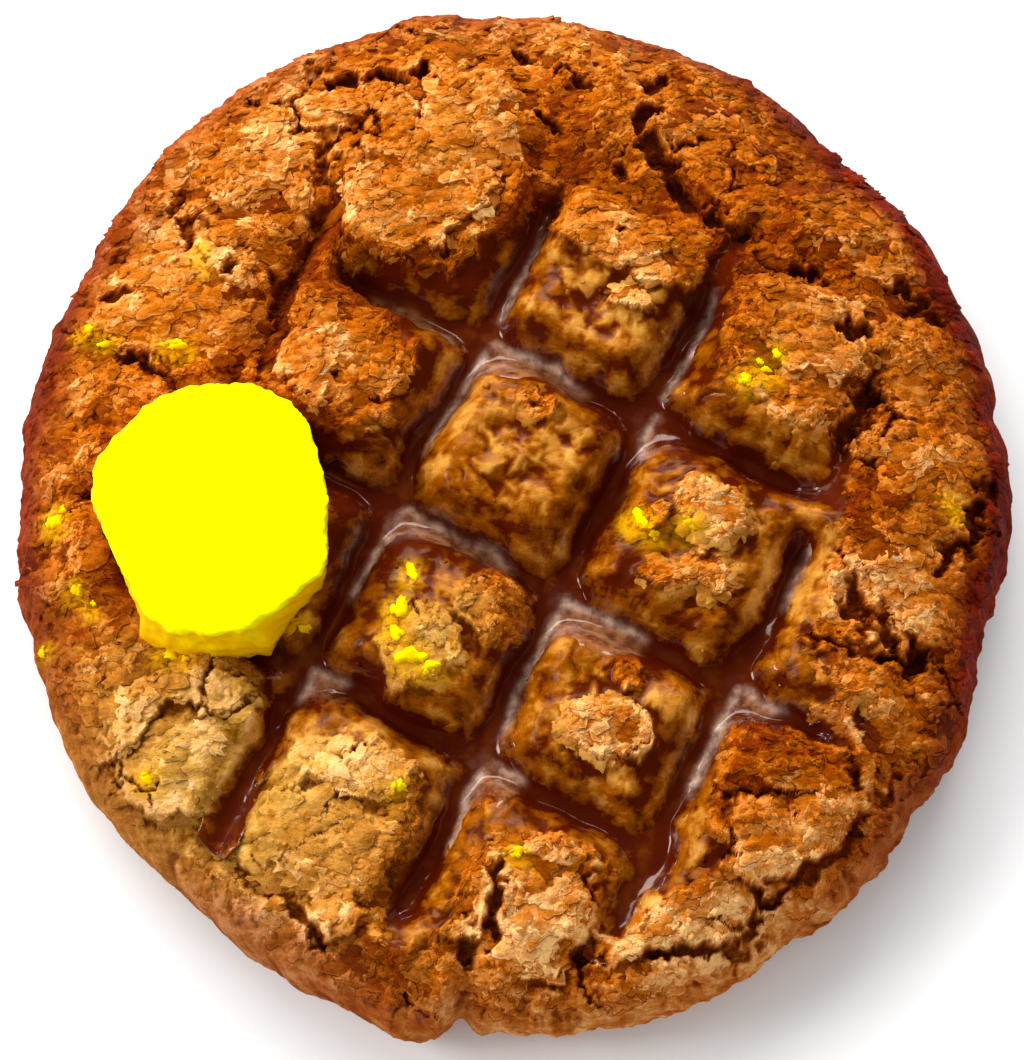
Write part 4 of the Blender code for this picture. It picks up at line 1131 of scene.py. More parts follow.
def syrup_mesh(crust, level, triangles):
    """The pool and the film that climbs the bumps: level in the grooves, smooth up the walls."""
    x, y = crust.place
    noise = layered_noise(x, y, 5.0 * MM, 113, 4)
    cover = smooth_step(0.25, 0.95, crust.wet + 0.25 * noise)
    cover = cover * smooth_step(0.10, 0.45, crust.sunk + 0.15 * noise)
    coated = softened(crust.height, WALL_SOFTNESS) + blend(cover, COAT_HIDDEN, COAT_THICKNESS)
    pool = level + crust.meniscus
    ripple = FILM_RIPPLE * layered_noise(x, y, 2.4 * MM, 121, 2)
    glazed = merged(crust.glaze, pool, SYRUP_EASE) + ripple
    top = blend(softened(crust.film, 0.3 * MM), merged(coated, pool, SYRUP_EASE), glazed)
    reached = crust.meniscus < SYRUP_REACH
    pooled = (((crust.sunk > 0.02) & (reached | (cover > 0.3))) | (crust.film > 0.05)) & (crust.reach < 0.9)
    shown = (top > crust.height + 0.02 * MM) & pooled
    near = softened(shown.astype(float), 0.5 * MM) > 0.03
    keep = near[:-1, :-1] & near[1:, :-1] & near[:-1, 1:] & near[1:, 1:]
    faces = grid_faces(np.arange(near.size).reshape(near.shape))[keep]
    used, packed = np.unique(faces, return_inverse=True)
    packed = packed.reshape(faces.shape)
    upper = top.ravel()[used]
    lower = np.minimum(upper - 0.3 * MM, softened(crust.height, 2.0 * MM).ravel()[used] - 1.2 * MM)
    flat = x.ravel()[used], y.ravel()[used]
    points = np.vstack((np.column_stack((*flat, upper)), np.column_stack((*flat, lower))))
    below = len(used)
    edges = np.vstack([packed[:, (i, (i + 1) % 4)] for i in range(4)])
    _, where, counts = np.unique(np.sort(edges, axis=1), axis=0, return_index=True, return_counts=True)
    start, end = edges[where[counts == 1]].T
    walls = np.column_stack((end, start, start + below, end + below))
    closed = halved(np.vstack((packed, packed[:, ::-1] + below, walls)))
    return thinned(mesh_from_arrays("syrup_pool", points, closed), triangles)


def syrup_masks(mesh, crust):
    """How deep the syrup is over the crust, and the crust that shows through it."""
    x, y, z = mesh_points(mesh).T
    depth = (z - at_places(softened(crust.height, WALL_SOFTNESS), x, y)) / SYRUP_CLARITY
    give_mask(mesh, "depth", limited(1.0 - np.exp(-np.maximum(depth - 0.12, 0.0))))
    for name in ("tone", "recess"):
        give_mask(mesh, name, at_places(getattr(crust, name), x, y))
    # The films' painted sheen and their painted highlight line
    for name in ("film", "film_line"):
        give_mask(mesh, name, at_places(softened(getattr(crust, name), 0.18 * MM), x, y))


def butter_profile():
    """Radius and height of the pat's rings, from the top middle down to the base middle."""
    bend = [(1.0 - sin(turn), 1.0 - cos(turn)) for turn in np.linspace(0.0, pi / 2, 9)]
    fall = [BUTTER_EDGE + (BUTTER_THICKNESS - BUTTER_EDGE) * part for part in np.linspace(0.06, 0.92, 14)]
    return np.array([
        *((BUTTER_RADIUS * part, 0.0) for part in np.linspace(0.0, 0.9, 22)),
        *((BUTTER_RADIUS - BUTTER_EDGE * inward, -BUTTER_EDGE * down) for inward, down in bend),
        *((BUTTER_RADIUS, -down) for down in fall),
        *((BUTTER_RADIUS * part, -BUTTER_THICKNESS) for part in np.linspace(0.96, 0.0, 24)),
    ])


def corner_outline(angle, corners):
    """Distance from the middle to a many-cornered outline in each direction."""
    ends = np.array(corners) * MM
    part = np.arange(0.0, 1.0, 0.05)[:, None, None]
    x, y = (ends + part * (np.roll(ends, -1, axis=0) - ends)).reshape(-1, 2).T
    return np.interp(angle, np.arctan2(y, x), np.hypot(x, y), period=2 * pi)


def butter_mesh(crust):
    """The pat, uneven round its edge, tipped, and sagged onto the crust below it."""
    steps = BUTTER_STEPS
    radius, height = butter_profile()[1:-1].T
    out = np.append(np.repeat(radius, steps), (0.0, 0.0)) / BUTTER_RADIUS
    drop = np.append(np.repeat(height, steps), (0.0, -BUTTER_THICKNESS))
    angle = np.append(np.tile(np.arange(steps) * 2 * pi / steps, len(radius)), (0.0, 0.0))
    down = -drop / BUTTER_THICKNESS
    outline = corner_outline(angle, BUTTER_TOP_CORNERS), corner_outline(angle, BUTTER_BASE_CORNERS)
    outline = blend(smooth_step(0.0, 0.8, down), *outline)
    x, y = out * outline * np.cos(angle), out * outline * np.sin(angle)
    rough = layered_noise(x + 0.7 * drop, y + drop, 1.7 * MM, 127, 3)
    ragged = 1.0 + 0.022 * smooth_step(0.85, 1.0, out) * rough
    x, y = x * ragged, y * ragged
    dent = limited(1.0 - distance_to_line(x, y, BUTTER_DENT) / (0.9 * MM))
    streak = limited(1.2 - distance_to_line(x, y, BUTTER_STREAK) / (1.8 * MM))
    dish = 0.22 * MM * layered_noise(x, y, 8.0 * MM, 131, 3) - BUTTER_DENT_DEPTH * dent
    tipped = BUTTER_TOP_Z + drop + y * sin(BUTTER_TIP) + x * sin(BUTTER_ROLL) + dish
    x, y = x + BUTTER_X, y + BUTTER_Y
    rest = np.maximum(at_places(softened(crust.height, 1.2 * MM), x, y), SYRUP_LEVEL_Z) + BUTTER_GAP
    sagged = rest + BUTTER_HOLLOW_KEPT * np.maximum(tipped - rest, 0.0)
    points = np.column_stack((x, y, blend(smooth_step(0.86, 1.0, down), tipped, sagged)))
    index = np.arange(len(radius) * steps).reshape(-1, steps)
    after = np.roll(index, -1, axis=1)
    quads = np.stack((index[:-1], index[1:], after[1:], after[:-1]), axis=-1).reshape(-1, 4)
    cap = np.column_stack((np.full(steps, index.size), index[0], after[0]))
    base = np.column_stack((np.full(steps, index.size + 1), after[-1], index[-1]))
    mesh = mesh_from_arrays("butter_pat", points, np.vstack((halved(quads), cap, base)))
    # The sides, the streak and the dent take the deeper colour, on the sides and in the dent partly as
    # painted shade
    give_mask(mesh, "side", np.maximum(smooth_step(0.05, 0.16, down), 0.45 * streak + 0.5 * dent))
    return mesh


def butter_bits_mesh(crust):
    """Torn bits of butter on the crust, a few to each place, joined as one mesh."""
    draw = np.random.default_rng(29)
    sides = 9
    index = np.arange(sides)
    after = (index + 1) % sides
    turn = index * 2 * pi / sides
    ground_map = softened(crust.height, 0.6 * MM)
    points, faces = [], []
    for mid_x, mid_y, half_x, half_y, lift in BUTTER_FLAKES:
        for scale, shift in BUTTER_BITS:
            toward = draw.uniform(0.0, 2 * pi)
            x = (mid_x + shift * half_x * cos(toward)) * MM
            y = (mid_y + shift * half_y * sin(toward)) * MM
            out = scale * draw.uniform(0.6, 1.15, sides)
            ring_x, ring_y = x + out * half_x * np.cos(turn) * MM, y + out * half_y * np.sin(turn) * MM
            ground = float(at_places(ground_map, np.array((x,)), np.array((y,)))[0])
            edge = at_places(ground_map, ring_x, ring_y)
            brow = 0.5 * (edge + ground) + (0.35 * lift + draw.uniform(0.0, 0.25, sides)) * MM
            inner = 0.4 * edge + 0.6 * ground + (lift + draw.uniform(-0.1, 0.2, sides)) * MM
            rings = (
                (x + 0.55 * (ring_x - x), y + 0.55 * (ring_y - y), inner),
                (ring_x, ring_y, brow),
                (ring_x, ring_y, edge - 0.5 * MM),
            )
            start = len(points) * (3 * sides + 1)
            centre = np.array(((x, y, ground + (lift + draw.uniform(0.0, 0.2)) * MM),))
            points.append(np.vstack((centre, *(np.column_stack(ring) for ring in rings))))
            faces.append(start + np.column_stack((np.zeros(sides, dtype=int), 1 + index, 1 + after)))
            for up in (1, 1 + sides):
                down = up + sides
                faces.append(start + np.column_stack((up + index, down + index, down + after)))
                faces.append(start + np.column_stack((up + index, down + after, up + after)))
    return mesh_from_arrays("butter_bits", np.vstack(points), np.vstack(faces))


def flake_sites(crust, draw, tries, sizes):
    """Places and sizes of flakes on the drier crust, clear of the butter and the films of syrup."""
    x, y = draw.uniform(-56.0, 56.0, tries) * MM, draw.uniform(-59.0, 59.0, tries) * MM
    size = blend(draw.beta(1.2, 2.4, tries), *sizes)
    crowded = 1.0 - 1.05 * at_places(crust.wet, x, y) - 0.85 * pale_share(x, y)
    kept = (draw.uniform(size=tries) < crowded) & (at_places(crust.reach, x, y) < 0.965)
    kept &= at_places(crust.film, x, y) < 0.1
    kept &= np.hypot(x - BUTTER_X, y - BUTTER_Y) > BUTTER_RADIUS - 1.0 * MM
    return x[kept][:, None], y[kept][:, None], size[kept][:, None]


def flake_outlines(draw, size, sides):
    """Ragged outlines of flakes, from their middles."""
    many = len(size)
    turn = (np.arange(sides) + draw.uniform(-0.32, 0.32, (many, sides))) * 2 * pi / sides
    out = size * draw.uniform(0.72, 1.12, (many, sides))
    for waves in (2, 3, 5):
        depth = draw.uniform(0.04, 0.2, (many, 1))
        out = out * (1.0 + depth * np.cos(waves * turn + draw.uniform(0.0, 2 * pi, (many, 1))))
    lean, stretch = draw.normal(0.0, 0.5, (many, 1)), draw.uniform(0.45, 0.85, (many, 1))
    return turned(out * np.cos(turn), out * np.sin(turn) * stretch, lean)


def flake_beds(crust, x, y, off_x, off_y):
    """The crust below flakes as an even slope: its height at middles and corners, and how far it strays."""
    ground = at_places(crust.ground, x + off_x, y + off_y)
    middle = ground.mean(axis=1, keepdims=True)
    xx, xy, yy = (off_x ** 2).sum(1), (off_x * off_y).sum(1), (off_y ** 2).sum(1)
    xz, yz = (off_x * (ground - middle)).sum(1), (off_y * (ground - middle)).sum(1)
    whole = xx * yy - xy ** 2
    rise_x, rise_y = ((xz * yy - yz * xy) / whole)[:, None], ((yz * xx - xz * xy) / whole)[:, None]
    level = middle + rise_x * off_x + rise_y * off_y
    return middle, level, np.abs(ground - level).max(axis=1)


def flake_mesh(crust, name, number, sizes, sides, seed):
    """Thin ragged flakes of crust like shingles, each with its southern edge lifted, joined as one mesh."""
    draw = np.random.default_rng(seed)
    x, y, size = flake_sites(crust, draw, number * 6, sizes)
    off_x, off_y = flake_outlines(draw, size, sides)
    middle, level, uneven = flake_beds(crust, x, y, off_x, off_y)
    broken = at_places(crust.crack, x + 0.8 * off_x, y + 0.8 * off_y).max(axis=1)
    good = np.flatnonzero((uneven < 0.22 * MM + 0.12 * size[:, 0]) & (broken < 0.7 * MM))[:number]
    tried = x, y, size, off_x, off_y, middle, level
    x, y, size, off_x, off_y, middle, level = (each[good] for each in tried)
    many = len(good)
    tip = draw.normal(-1.3, 0.55, (many, 1))
    downhill = off_x * np.cos(tip) + off_y * np.sin(tip)
    tilt = draw.uniform(0.06, 0.2, (many, 1)) * downhill
    lifted = draw.uniform(0.0, 0.14, (many, 1)) * MM
    top = level + tilt + lifted + draw.uniform(-0.02, 0.03, off_x.shape) * MM
    thick = draw.uniform(0.25, 0.4, (many, 1)) * MM
    mid_top = middle + lifted + draw.uniform(0.0, 0.05, (many, 1)) * MM
    lip = 1.0 + draw.uniform(0.5, 1.4, (many, 1)) * FLAKE_LIP / np.hypot(off_x, off_y)
    columns = (
        np.concatenate((x, x + off_x, x + lip * off_x), axis=1),
        np.concatenate((y, y + off_y, y + lip * off_y), axis=1),
        np.concatenate((mid_top, top, top - thick), axis=1),
    )
    ring = 1 + np.arange(sides)
    after = 1 + ring % sides
    fan = np.column_stack((np.zeros(sides, dtype=int), ring, after))
    low = np.column_stack((ring, sides + ring, sides + after))
    high = np.column_stack((ring, sides + after, after))
    corners = 2 * sides + 1
    faces = (np.vstack((fan, low, high)) + (np.arange(many) * corners)[:, None, None]).reshape(-1, 3)
    mesh = mesh_from_arrays(name, np.stack(columns, axis=-1).reshape(-1, 3), faces)
    crust_masks(mesh, crust)
    x, y = x[:, 0], y[:, 0]
    own = draw.uniform(-0.09, 0.09, many) * (1.0 - 0.4 * at_places(crust.wet, x, y))
    tone = limited(0.85 * at_places(crust.tone, x, y) + 0.08 + own)
    # Flakes over hollows carry the crust's painted shade
    shaded = np.clip(1.2 * at_places(crust.shade, x, y) - 0.3, 0.0, 0.8)
    # Lifted southern edges get a painted highlight, and the lip below a painted shadow
    brink = 0.6 + 0.4 * smooth_step(-0.3, 0.5, downhill / size)
    brink = np.concatenate((np.zeros((many, 1)), brink, np.full((many, sides), 2.0)), axis=1)
    give_mask(mesh, "tone", np.repeat(tone, corners))
    give_mask(mesh, "recess", np.repeat(shaded, corners))
    give_mask(mesh, "brink", brink.ravel())
    return mesh


def crumbs_mesh(crust, number):
    """Small angular crumbs scattered over the dry crust, thickest by its broken edges, joined as one mesh."""
    draw = np.random.default_rng(19)
    tries = number * 8
    x, y = draw.uniform(-55.0, 55.0, tries) * MM, draw.uniform(-58.0, 58.0, tries) * MM
    near_edge = at_places(crust.edge, x, y) + 0.5 * at_places(crust.recess, x, y)
    chance = (0.06 + 0.6 * near_edge) * (1.0 - 0.95 * at_places(crust.wet, x, y))
    chance = chance * (at_places(crust.reach, x, y) < 0.955)
    butter = np.hypot(x - BUTTER_X, y - BUTTER_Y) < BUTTER_RADIUS + 0.9 * MM
    keep = np.flatnonzero((draw.uniform(size=tries) < chance) & ~butter)[:number]
    x, y, many = x[keep], y[keep], len(keep)
    size = np.minimum(draw.gamma(2.5, 0.07, many) * MM + 0.10 * MM, 0.55 * MM)[:, None]
    ground = at_places(crust.height, x, y)[:, None]
    corners = np.array([(i, j, k) for k in (-1, 1) for j in (-1, 1) for i in (-1, 1)], dtype=float)
    shaped = corners[None] * draw.uniform(0.35, 1.0, (many, 8, 3))
    shaped = shaped * draw.uniform((0.6, 0.6, 0.3), (1.3, 1.0, 0.7), (many, 1, 3))
    spin = draw.uniform(0.0, 2 * pi, (2, many, 1))
    lean = draw.uniform(-0.7, 0.7, (many, 1))
    off_x, off_y = turned(shaped[..., 0], shaped[..., 1], spin[0])
    off_x, off_z = turned(off_x, shaped[..., 2], lean)
    off_x, off_y = turned(off_x, off_y, spin[1])
    points = off_x * size + x[:, None], off_y * size + y[:, None], off_z * size + ground + 0.2 * size
    faces = (np.array(CRUMB_FACES) + (np.arange(many) * len(corners))[:, None, None]).reshape(-1, 3)
    return mesh_from_arrays("crumbs", np.stack(points, axis=-1).reshape(-1, 3), faces)


class Wire:
    """A node's output that can stand in a Python expression."""

    def __init__(self, finish, socket):
        self.finish = finish
        self.socket = socket

    def math(self, operation, first, second):
        """Add a Math node on two values."""
        return self.finish.node("ShaderNodeMath", {"operation": operation}, {0: first, 1: second})

    def __add__(self, other):
        return self.math("ADD", self, other)

    __radd__ = __add__

    def __sub__(self, other):
        return self.math("SUBTRACT", self, other)

    def __rsub__(self, other):
        return self.math("SUBTRACT", other, self)

    def __mul__(self, other):
        return self.math("MULTIPLY", self, other)

    __rmul__ = __mul__

    def between(self, low, high):
        """Rise smoothly from 0 at low to 1 at high."""
        sockets = {"Value": self, "From Min": low, "From Max": high}
        return self.finish.node("ShaderNodeMapRange", {"interpolation_type": "SMOOTHSTEP"}, sockets)


class Finish:
    """One material, built from named masks and expressions."""

    def __init__(self, name):
        self.material = bpy.data.materials.new(name)
        self.material.use_nodes = True
        self.tree = self.material.node_tree
        self.shader = self.tree.nodes["Principled BSDF"]
        self.place = self.node("ShaderNodeTexCoord", output="Object")

    def node(self, kind, settings=None, sockets=None, output=0):
        """Add a node with its settings, then the values or links of its sockets."""
        node = self.tree.nodes.new(kind)
        for key, value in (settings or {}).items():
            if key == "stops":
                self.set_stops(node.color_ramp, value)
            else:
                setattr(node, key, value)
        for key, value in (sockets or {}).items():
            self.feed(node.inputs[key], value)
        return Wire(self, node.outputs[output])

    def set_stops(self, ramp, stops):
        """Give a ramp its stops: (place, colour)."""
        while len(ramp.elements) < len(stops):
            ramp.elements.new(0.5)
        for element, (place, colour) in zip(ramp.elements, stops):
            element.position = place
            element.color = (*colour, 1.0)

    def feed(self, socket, value):
        """Link a wire to a socket, or set its value."""
        if isinstance(value, Wire):
            self.tree.links.new(value.socket, socket)
        elif socket.type == "RGBA":
            socket.default_value = (*value, 1.0)
        else:
            socket.default_value = value

    def mask(self, name):
        """A mask stored on the mesh."""
        return self.node("ShaderNodeAttribute", {"attribute_name": name}, output="Fac")

    def stretched(self, factors):
        """The place on the object, scaled by a factor each way."""
        return self.node("ShaderNodeVectorMath", {"operation": "MULTIPLY"}, {0: self.place, 1: factors})

    def noise(self, size, detail=3.0, roughness=0.6, place=None):
        """Fractal noise, 0 to 1, with features of a size in metres."""
        sockets = {"Vector": place or self.place, "Scale": 1.0 / size}
        return self.node("ShaderNodeTexNoise", None, {**sockets, "Detail": detail, "Roughness": roughness})

    def ramp(self, value, stops):
        """Turn a value into a colour by stops of (place, colour)."""
        return self.node("ShaderNodeValToRGB", {"stops": stops}, {"Fac": value})

    def mix(self, share, low, high, blend_type="MIX"):
        """Mix two colours by a share."""
        settings = {"data_type": "RGBA", "blend_type": blend_type}
        return self.node("ShaderNodeMix", settings, {0: share, 6: low, 7: high}, output=2)

    def bump(self, height, distance, strength):
        """Turn a height into a normal."""
        sockets = {"Height": height, "Distance": distance, "Strength": strength}
        return self.node("ShaderNodeBump", None, sockets)

    def set(self, **sockets):
        """Set the shader's own sockets by name, with underscores for spaces."""
        for key, value in sockets.items():
            self.feed(self.shader.inputs[key.replace("_", " ")], value)
        return self.material


def colour_property(name, description, value):
    """A colour that a user can change."""
    return FloatVectorProperty(
        name=name, description=description, subtype="COLOR", size=3, min=0.0, max=1.0, default=value
    )


class CrustProperties(bpy.types.PropertyGroup):
    """Sizes and colours of the baked body."""

    triangles: IntProperty(name="Triangles", description="Faces kept in the crust", default=195000, min=20000)
    crumbs: IntProperty(name="Crumbs", description="Most crumbs that are scattered", default=3000, min=1)
    # The dark stops also carry painted shade where the tone is lowered in hollows and below ledges
    dark: colour_property("Dark", "Crust in its hollows", shade(122, 40, 0))
    middle: colour_property("Middle", "Crust between light and dark", shade(188, 96, 2))
    light: colour_property("Light", "The tops of the plates", shade(219, 135, 54))
    # The edge stop is partly paler broken crumb and partly a painted highlight on proud edges
    edge: colour_property("Edge", "Broken edges and crumbs", shade(254, 197, 124))
    # Pale dark also carries painted shade in the paler crust's hollows
    pale_dark: colour_property("Pale dark", "Hollows of the paler crust", shade(140, 82, 4))
    pale_light: colour_property("Pale light", "The paler, yellower crust", shade(210, 155, 66))
    # The rim colour darkens the browned rim and also paints its shade
    rim: colour_property("Rim", "Darkening of the browned rim", shade(152, 60, 14))
    # The crack colour also paints the shade in hollows, pits and gaps below ledges
    crack: colour_property("Crack", "Inside cracks and pits", shade(84, 20, 0))
    # Wet dark also carries painted shade in the soaked crust's hollows
    wet_dark: colour_property("Wet dark", "Soaked crust in its hollows", shade(76, 16, 0))
    wet_middle: colour_property("Wet middle", "Soaked crust between lumps and hollows", shade(146, 76, 0))
    wet_light: colour_property("Wet light", "Soaked crust on its lumps", shade(216, 152, 60))
    stain: colour_property("Stain", "Crust stained by melted butter", shade(236, 170, 4))
    under_side: colour_property("Underside", "The baked base", shade(140, 72, 28))


class SyrupProperties(bpy.types.PropertyGroup):
    """Level and colours of the syrup."""

    triangles: IntProperty(name="Triangles", description="Faces kept in the syrup", default=120000, min=20000)
    level: FloatProperty(
        name="Level", description="Height of the pool", default=SYRUP_LEVEL_Z, unit="LENGTH", min=0.0
    )
    thick: colour_property("Thick", "Deep syrup", shade(78, 22, 2))
    amber: colour_property("Amber", "Deep syrup that lets light through", shade(126, 58, 6))
    # The film colours are a painted sheen and a painted highlight on the films
    film: colour_property("Film", "Film caught on the bumps", shade(196, 132, 82))
    film_edge_highlight: colour_property("Film edge", "Cloudy edge of a film", shade(244, 214, 192))


class ButterProperties(bpy.types.PropertyGroup):
    """Colours of the butter."""

    face: colour_property("Face", "Freshly cut butter", (1.0, 0.96, 0.0))
    # The side colour is partly softened butter and partly painted shade on the pat's sides and in its dent
    side: colour_property("Side", "Butter where it softens", shade(246, 190, 0))


class StageProperties(bpy.types.PropertyGroup):
    """Floor and lights."""

    floor: colour_property("Floor", "The pale floor", (0.9, 0.9, 0.9))
    window: FloatProperty(name="Window", description="Power of the back light in watts", default=9.0, min=0.0)
    lamp: FloatProperty(name="Lamp", description="Power of the left light in watts", default=3.0, min=0.0)
    room: FloatProperty(name="Room", description="Strength of the light all round", default=0.62, min=0.0)


class Grain:
    """Ragged patches and fine grains of the crust's finish."""

    def __init__(self, finish):
        stretched = finish.stretched((0.6, 1.15, 1.0))
        patch = finish.noise(1.5 * MM, 4.0, 0.62, stretched)
        self.blotch = finish.noise(0.9 * MM, 3.0, 0.7, stretched)
        grain = finish.noise(0.35 * MM, 2.0, 0.7)
        self.soft = finish.noise(2.4 * MM)
        patches = patch.between(0.41, 0.43) + patch.between(0.49, 0.51) + patch.between(0.57, 0.59)
        small = self.blotch.between(0.44, 0.47) + self.blotch.between(0.54, 0.57)
        self.tone = (patches - 1.5) * 0.085 + (small - 1.0) * 0.07 + (grain - 0.5) * 0.34
        self.height = grain * 0.4 + patches * 0.3 + small * 0.2


def wet_colour(finish, look, grain):
    """Crust seen through syrup: amber on its lumps, nearly black in its hollows, partly by painted shade."""
    # Hollows under the syrup are darkened by painted shade
    share = finish.mask("tone") + grain.tone * 0.6 + grain.soft * 0.5 - finish.mask("recess") * 0.5 - 0.27
    return finish.ramp(share, ((0.05, look.wet_dark), (0.42, look.wet_middle), (0.9, look.wet_light)))


def crust_material(look):
    """Baked crust: light plates and edges, dark cracks, parts soaked, browned or stained, with painted
    highlights on edges and painted shade in hollows, below flakes and on the rim.
    """
    finish = Finish("crust")
    grain = Grain(finish)
    recess, wet, stain, brink = (finish.mask(name) for name in ("recess", "wet", "stain", "brink"))
    value = finish.mask("tone") + grain.tone
    # A painted highlight on flakes' lifted edges and a painted shadow on the lip below them
    value = value + brink.between(0.87, 0.98) * 0.17 - brink.between(1.05, 1.4) * 0.45
    warm = finish.ramp(value, ((0.02, look.dark), (0.40, look.middle), (0.70, look.light), (1.0, look.edge)))
    pale = finish.ramp(value, ((0.02, look.pale_dark), (0.62, look.pale_light), (1.0, look.edge)))
    colour = finish.mix(finish.mask("pale"), warm, pale)
    # The browned rim, darkened further by painted shade by direction
    browned_and_shaded = finish.mix(1.0, colour, look.rim, "MULTIPLY")
    colour = finish.mix(finish.mask("rim"), colour, browned_and_shaded)
    colour = finish.mix(wet * 0.96, colour, wet_colour(finish, look, grain))
    colour = finish.mix(stain * grain.blotch.between(0.25, 0.6) * 0.85, colour, look.stain)
    # Hollows, pits and gaps below ledges take the crack colour: partly darker crumb, partly painted shade
    colour = finish.mix(recess * 0.7, colour, look.crack)
    colour = finish.mix(finish.mask("under"), colour, look.under_side)
    return finish.set(
        Base_Color=colour,
        Roughness=0.8 - wet * 0.5,
        Normal=finish.bump(grain.height, 0.24 * MM, 0.7 - wet * 0.5),
        Coat_Weight=wet * 0.12,
        Coat_Roughness=0.16,
        Specular_IOR_Level=0.12,
        Specular_Tint=(1.0, 0.5, 0.12),
    )


def syrup_material(look, crust_look):
    """Thick syrup: the soaked crust shows where it is thin, and it is nearly black where it is deep; its
    films carry a painted sheen and a painted highlight along their brink.
    """
    finish = Finish("syrup")
    deep = finish.mix(finish.noise(2.6 * MM, 2.0, 0.5).between(0.45, 0.68) * 0.6, look.thick, look.amber)
    colour = finish.mix(finish.mask("depth"), wet_colour(finish, crust_look, Grain(finish)), deep)
    sheen_streaks = finish.noise(1.6 * MM).between(0.3, 0.7)
    # Painted sheen on the films, and a painted highlight along their brink
    colour = finish.mix(finish.mask("film") * (sheen_streaks * 0.5 + 0.05), colour, look.film)
    colour = finish.mix(finish.mask("film_line") * (sheen_streaks * 0.9 + 0.25), colour, look.film_edge_highlight)
    return finish.set(
        Base_Color=colour,
        Roughness=0.14,
        IOR=1.7,
        Specular_IOR_Level=0.36,
        Specular_Tint=(1.0, 0.84, 0.78),
        Normal=finish.bump(finish.noise(1.8 * MM, 1.0, 0.4), 0.1 * MM, 0.12),
    )


def butter_material(look):
    """Soft butter: a bright even face with slightly deeper sides, partly softened butter and partly painted
    shade.
    """
    finish = Finish("butter")
    side = finish.mask("side")
    smear = finish.noise(2.4 * MM, 3.0, 0.55)
    side_softened_and_shaded = (side * 0.9 + side * (smear - 0.5) * 1.6).between(0.0, 1.0)
    return finish.set(
        Base_Color=finish.mix(side_softened_and_shaded, look.face, look.side),
        Roughness=0.5,
        Normal=finish.bump(finish.noise(1.6 * MM), 0.12 * MM, 0.5),
        Specular_IOR_Level=0.05,
        Specular_Tint=(1.0, 0.9, 0.0),
    )


class COOKIE_OT_crust(bpy.types.Operator):
    """Build the baked body over its solid"""

    bl_idname = "cookie.crust"
    bl_label = "Crust"

    def execute(self, context):
        look = context.scene.cookie_crust
        crust = crust_map()
        mesh = crust_mesh(crust, look.triangles)
        crust_masks(mesh, crust)
        corners = np.empty(len(mesh.loops), dtype=np.int32)
        mesh.loops.foreach_get("vertex_index", corners)
        x, y, _ = mesh_points(mesh)[corners].T
        # Soaked crust is smooth, and dry crust keeps its facets
        soaked = at_places(crust.wet, x, y).reshape(-1, 3).mean(axis=1) > 0.5
        mesh.polygons.foreach_set("use_smooth", soaked)
        add_piece("crust", mesh, crust_material(look), ("cookie",))
        return {"FINISHED"}


class COOKIE_OT_crumbs(bpy.types.Operator):
    """Lay flakes and loose crumbs on the crust"""

    bl_idname = "cookie.crumbs"
    bl_label = "Flakes and crumbs"

    def execute(self, context):
        crust, finish = crust_map(), bpy.data.materials["crust"]
        for name, *kind in FLAKES:
            add_piece(name, flake_mesh(crust, name, *kind), finish)
        mesh = crumbs_mesh(crust, context.scene.cookie_crust.crumbs)
        crust_masks(mesh, crust)
        add_piece("crumbs", mesh, finish)
        return {"FINISHED"}


class COOKIE_OT_syrup(bpy.types.Operator):
    """Pour the syrup into the grooves"""

    bl_idname = "cookie.syrup"
    bl_label = "Syrup"

    def execute(self, context):
        look = context.scene.cookie_syrup
        crust = crust_map()
        mesh = syrup_mesh(crust, look.level, look.triangles)
        syrup_masks(mesh, crust)
        mesh.shade_smooth()
        add_piece("syrup_pool", mesh, syrup_material(look, context.scene.cookie_crust), ("syrup",))
        return {"FINISHED"}


class COOKIE_OT_butter(bpy.types.Operator):
    """Lay the pat of butter and its stray flakes"""

    bl_idname = "cookie.butter"
    bl_label = "Butter"

    def execute(self, context):
        crust = crust_map()
        finish = butter_material(context.scene.cookie_butter)
        mesh = butter_mesh(crust)
        mesh.shade_smooth()
        add_piece("butter", mesh, finish, ("butter_pat",))
        bits = butter_bits_mesh(crust)
        x, y, _ = mesh_points(bits).T
        give_mask(bits, "side", limited(0.75 + 0.5 * layered_noise(x, y, 2.0 * MM, 137, 2)))
        add_piece("butter_bits", bits, finish)
        return {"FINISHED"}


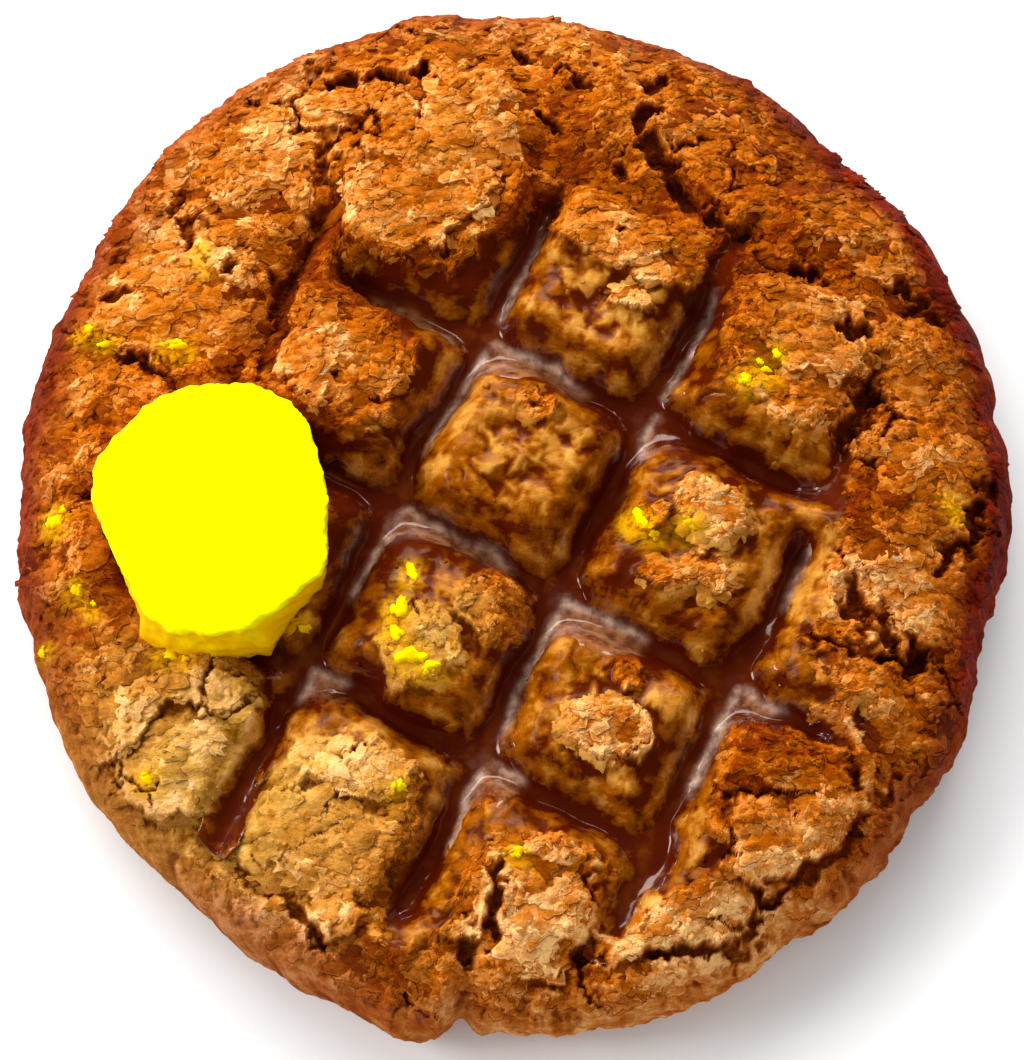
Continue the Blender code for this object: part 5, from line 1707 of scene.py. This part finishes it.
class COOKIE_OT_stage(bpy.types.Operator):
    """Set the floor, the lights and the camera"""

    bl_idname = "cookie.stage"
    bl_label = "Stage"

    def execute(self, context):
        scene = context.scene
        look = scene.cookie_stage
        self.lay_floor(scene, look.floor)
        self.light_room(scene, look.room)
        self.hang_light(scene, "window", WINDOW_PLACE, WINDOW_SIZE, look.window)
        self.hang_light(scene, "lamp", LAMP_PLACE, LAMP_SIZE, look.lamp)
        self.set_camera(scene)
        scene.view_settings.view_transform = "Standard"
        return {"FINISHED"}

    def lay_floor(self, scene, colour):
        """Lay the pale floor under the cookie."""
        mesh = bpy.data.meshes.new("floor")
        corners = [(x * FLOOR_HALF, y * FLOOR_HALF, 0.0) for x, y in ((-1, -1), (1, -1), (1, 1), (-1, 1))]
        mesh.from_pydata(corners, [], [(0, 1, 2, 3)])
        floor = bpy.data.objects.new("floor", mesh)
        scene.collection.objects.link(floor)
        mesh.materials.append(Finish("floor").set(Base_Color=colour, Roughness=0.9))

    def light_room(self, scene, strength):
        """Light the stage evenly from all round, with no gloss of its own."""
        world = bpy.data.worlds.new("room")
        scene.world = world
        world.use_nodes = True
        sky = world.node_tree.nodes["Background"]
        sky.inputs["Color"].default_value = (1.0, 1.0, 1.0, 1.0)
        sky.inputs["Strength"].default_value = strength
        world.cycles_visibility.glossy = False

    def hang_light(self, scene, name, place, size, power):
        """Add a soft rectangular light that faces the cookie."""
        lamp = bpy.data.lights.new(name, "AREA")
        lamp.shape = "RECTANGLE"
        lamp.size, lamp.size_y = size
        lamp.energy = power
        body = bpy.data.objects.new(name, lamp)
        body.location = place
        body.rotation_mode = "QUATERNION"
        body.rotation_quaternion = (Vector(place) - Vector(LIGHT_AIM)).to_track_quat("Z", "Y")
        scene.collection.objects.link(body)

    def set_camera(self, scene):
        """Stand the camera at the photograph's angle."""
        data = bpy.data.cameras.new("camera")
        data.sensor_width = SENSOR_WIDTH
        data.lens = CAMERA_DISTANCE / (MM_PER_PIXEL * MM) / FRAME_HEIGHT * SENSOR_WIDTH
        data.clip_start = 10.0 * MM
        camera = bpy.data.objects.new("camera", data)
        scene.collection.objects.link(camera)
        back = Vector((0.0, -cos(CAMERA_ELEVATION), sin(CAMERA_ELEVATION)))
        camera.location = Vector(CAMERA_AIM) + back * CAMERA_DISTANCE
        camera.rotation_euler = (pi / 2 - CAMERA_ELEVATION, 0.0, 0.0)
        scene.camera = camera


class COOKIE_PT_panel(bpy.types.Panel):
    """The cookie's pieces and their sizes and colours"""

    bl_idname = "COOKIE_PT_panel"
    bl_label = "Cookie"
    bl_space_type = "VIEW_3D"
    bl_region_type = "UI"
    bl_category = "Cookie"

    def draw(self, context):
        for operator in OPERATORS:
            self.layout.operator(operator.bl_idname)
        for name, group in GROUPS.items():
            box = self.layout.box()
            settings = getattr(context.scene, name)
            for key in group.__annotations__:
                box.prop(settings, key)


GROUPS = {
    "cookie_crust": CrustProperties,
    "cookie_syrup": SyrupProperties,
    "cookie_butter": ButterProperties,
    "cookie_stage": StageProperties,
}
OPERATORS = (COOKIE_OT_crust, COOKIE_OT_crumbs, COOKIE_OT_syrup, COOKIE_OT_butter, COOKIE_OT_stage)
CLASSES = (*GROUPS.values(), *OPERATORS, COOKIE_PT_panel)


def register():
    """Register the classes and the scene's settings."""
    for kind in CLASSES:
        bpy.utils.register_class(kind)
    for name, group in GROUPS.items():
        setattr(bpy.types.Scene, name, PointerProperty(type=group))


def unregister():
    """Undo register."""
    for name in GROUPS:
        delattr(bpy.types.Scene, name)
    for kind in reversed(CLASSES):
        bpy.utils.unregister_class(kind)


def main():
    """Build every piece in order."""
    register()
    bpy.ops.cookie.crust()
    bpy.ops.cookie.crumbs()
    bpy.ops.cookie.syrup()
    bpy.ops.cookie.butter()
    bpy.ops.cookie.stage()


if __name__ == "__main__":
    main()
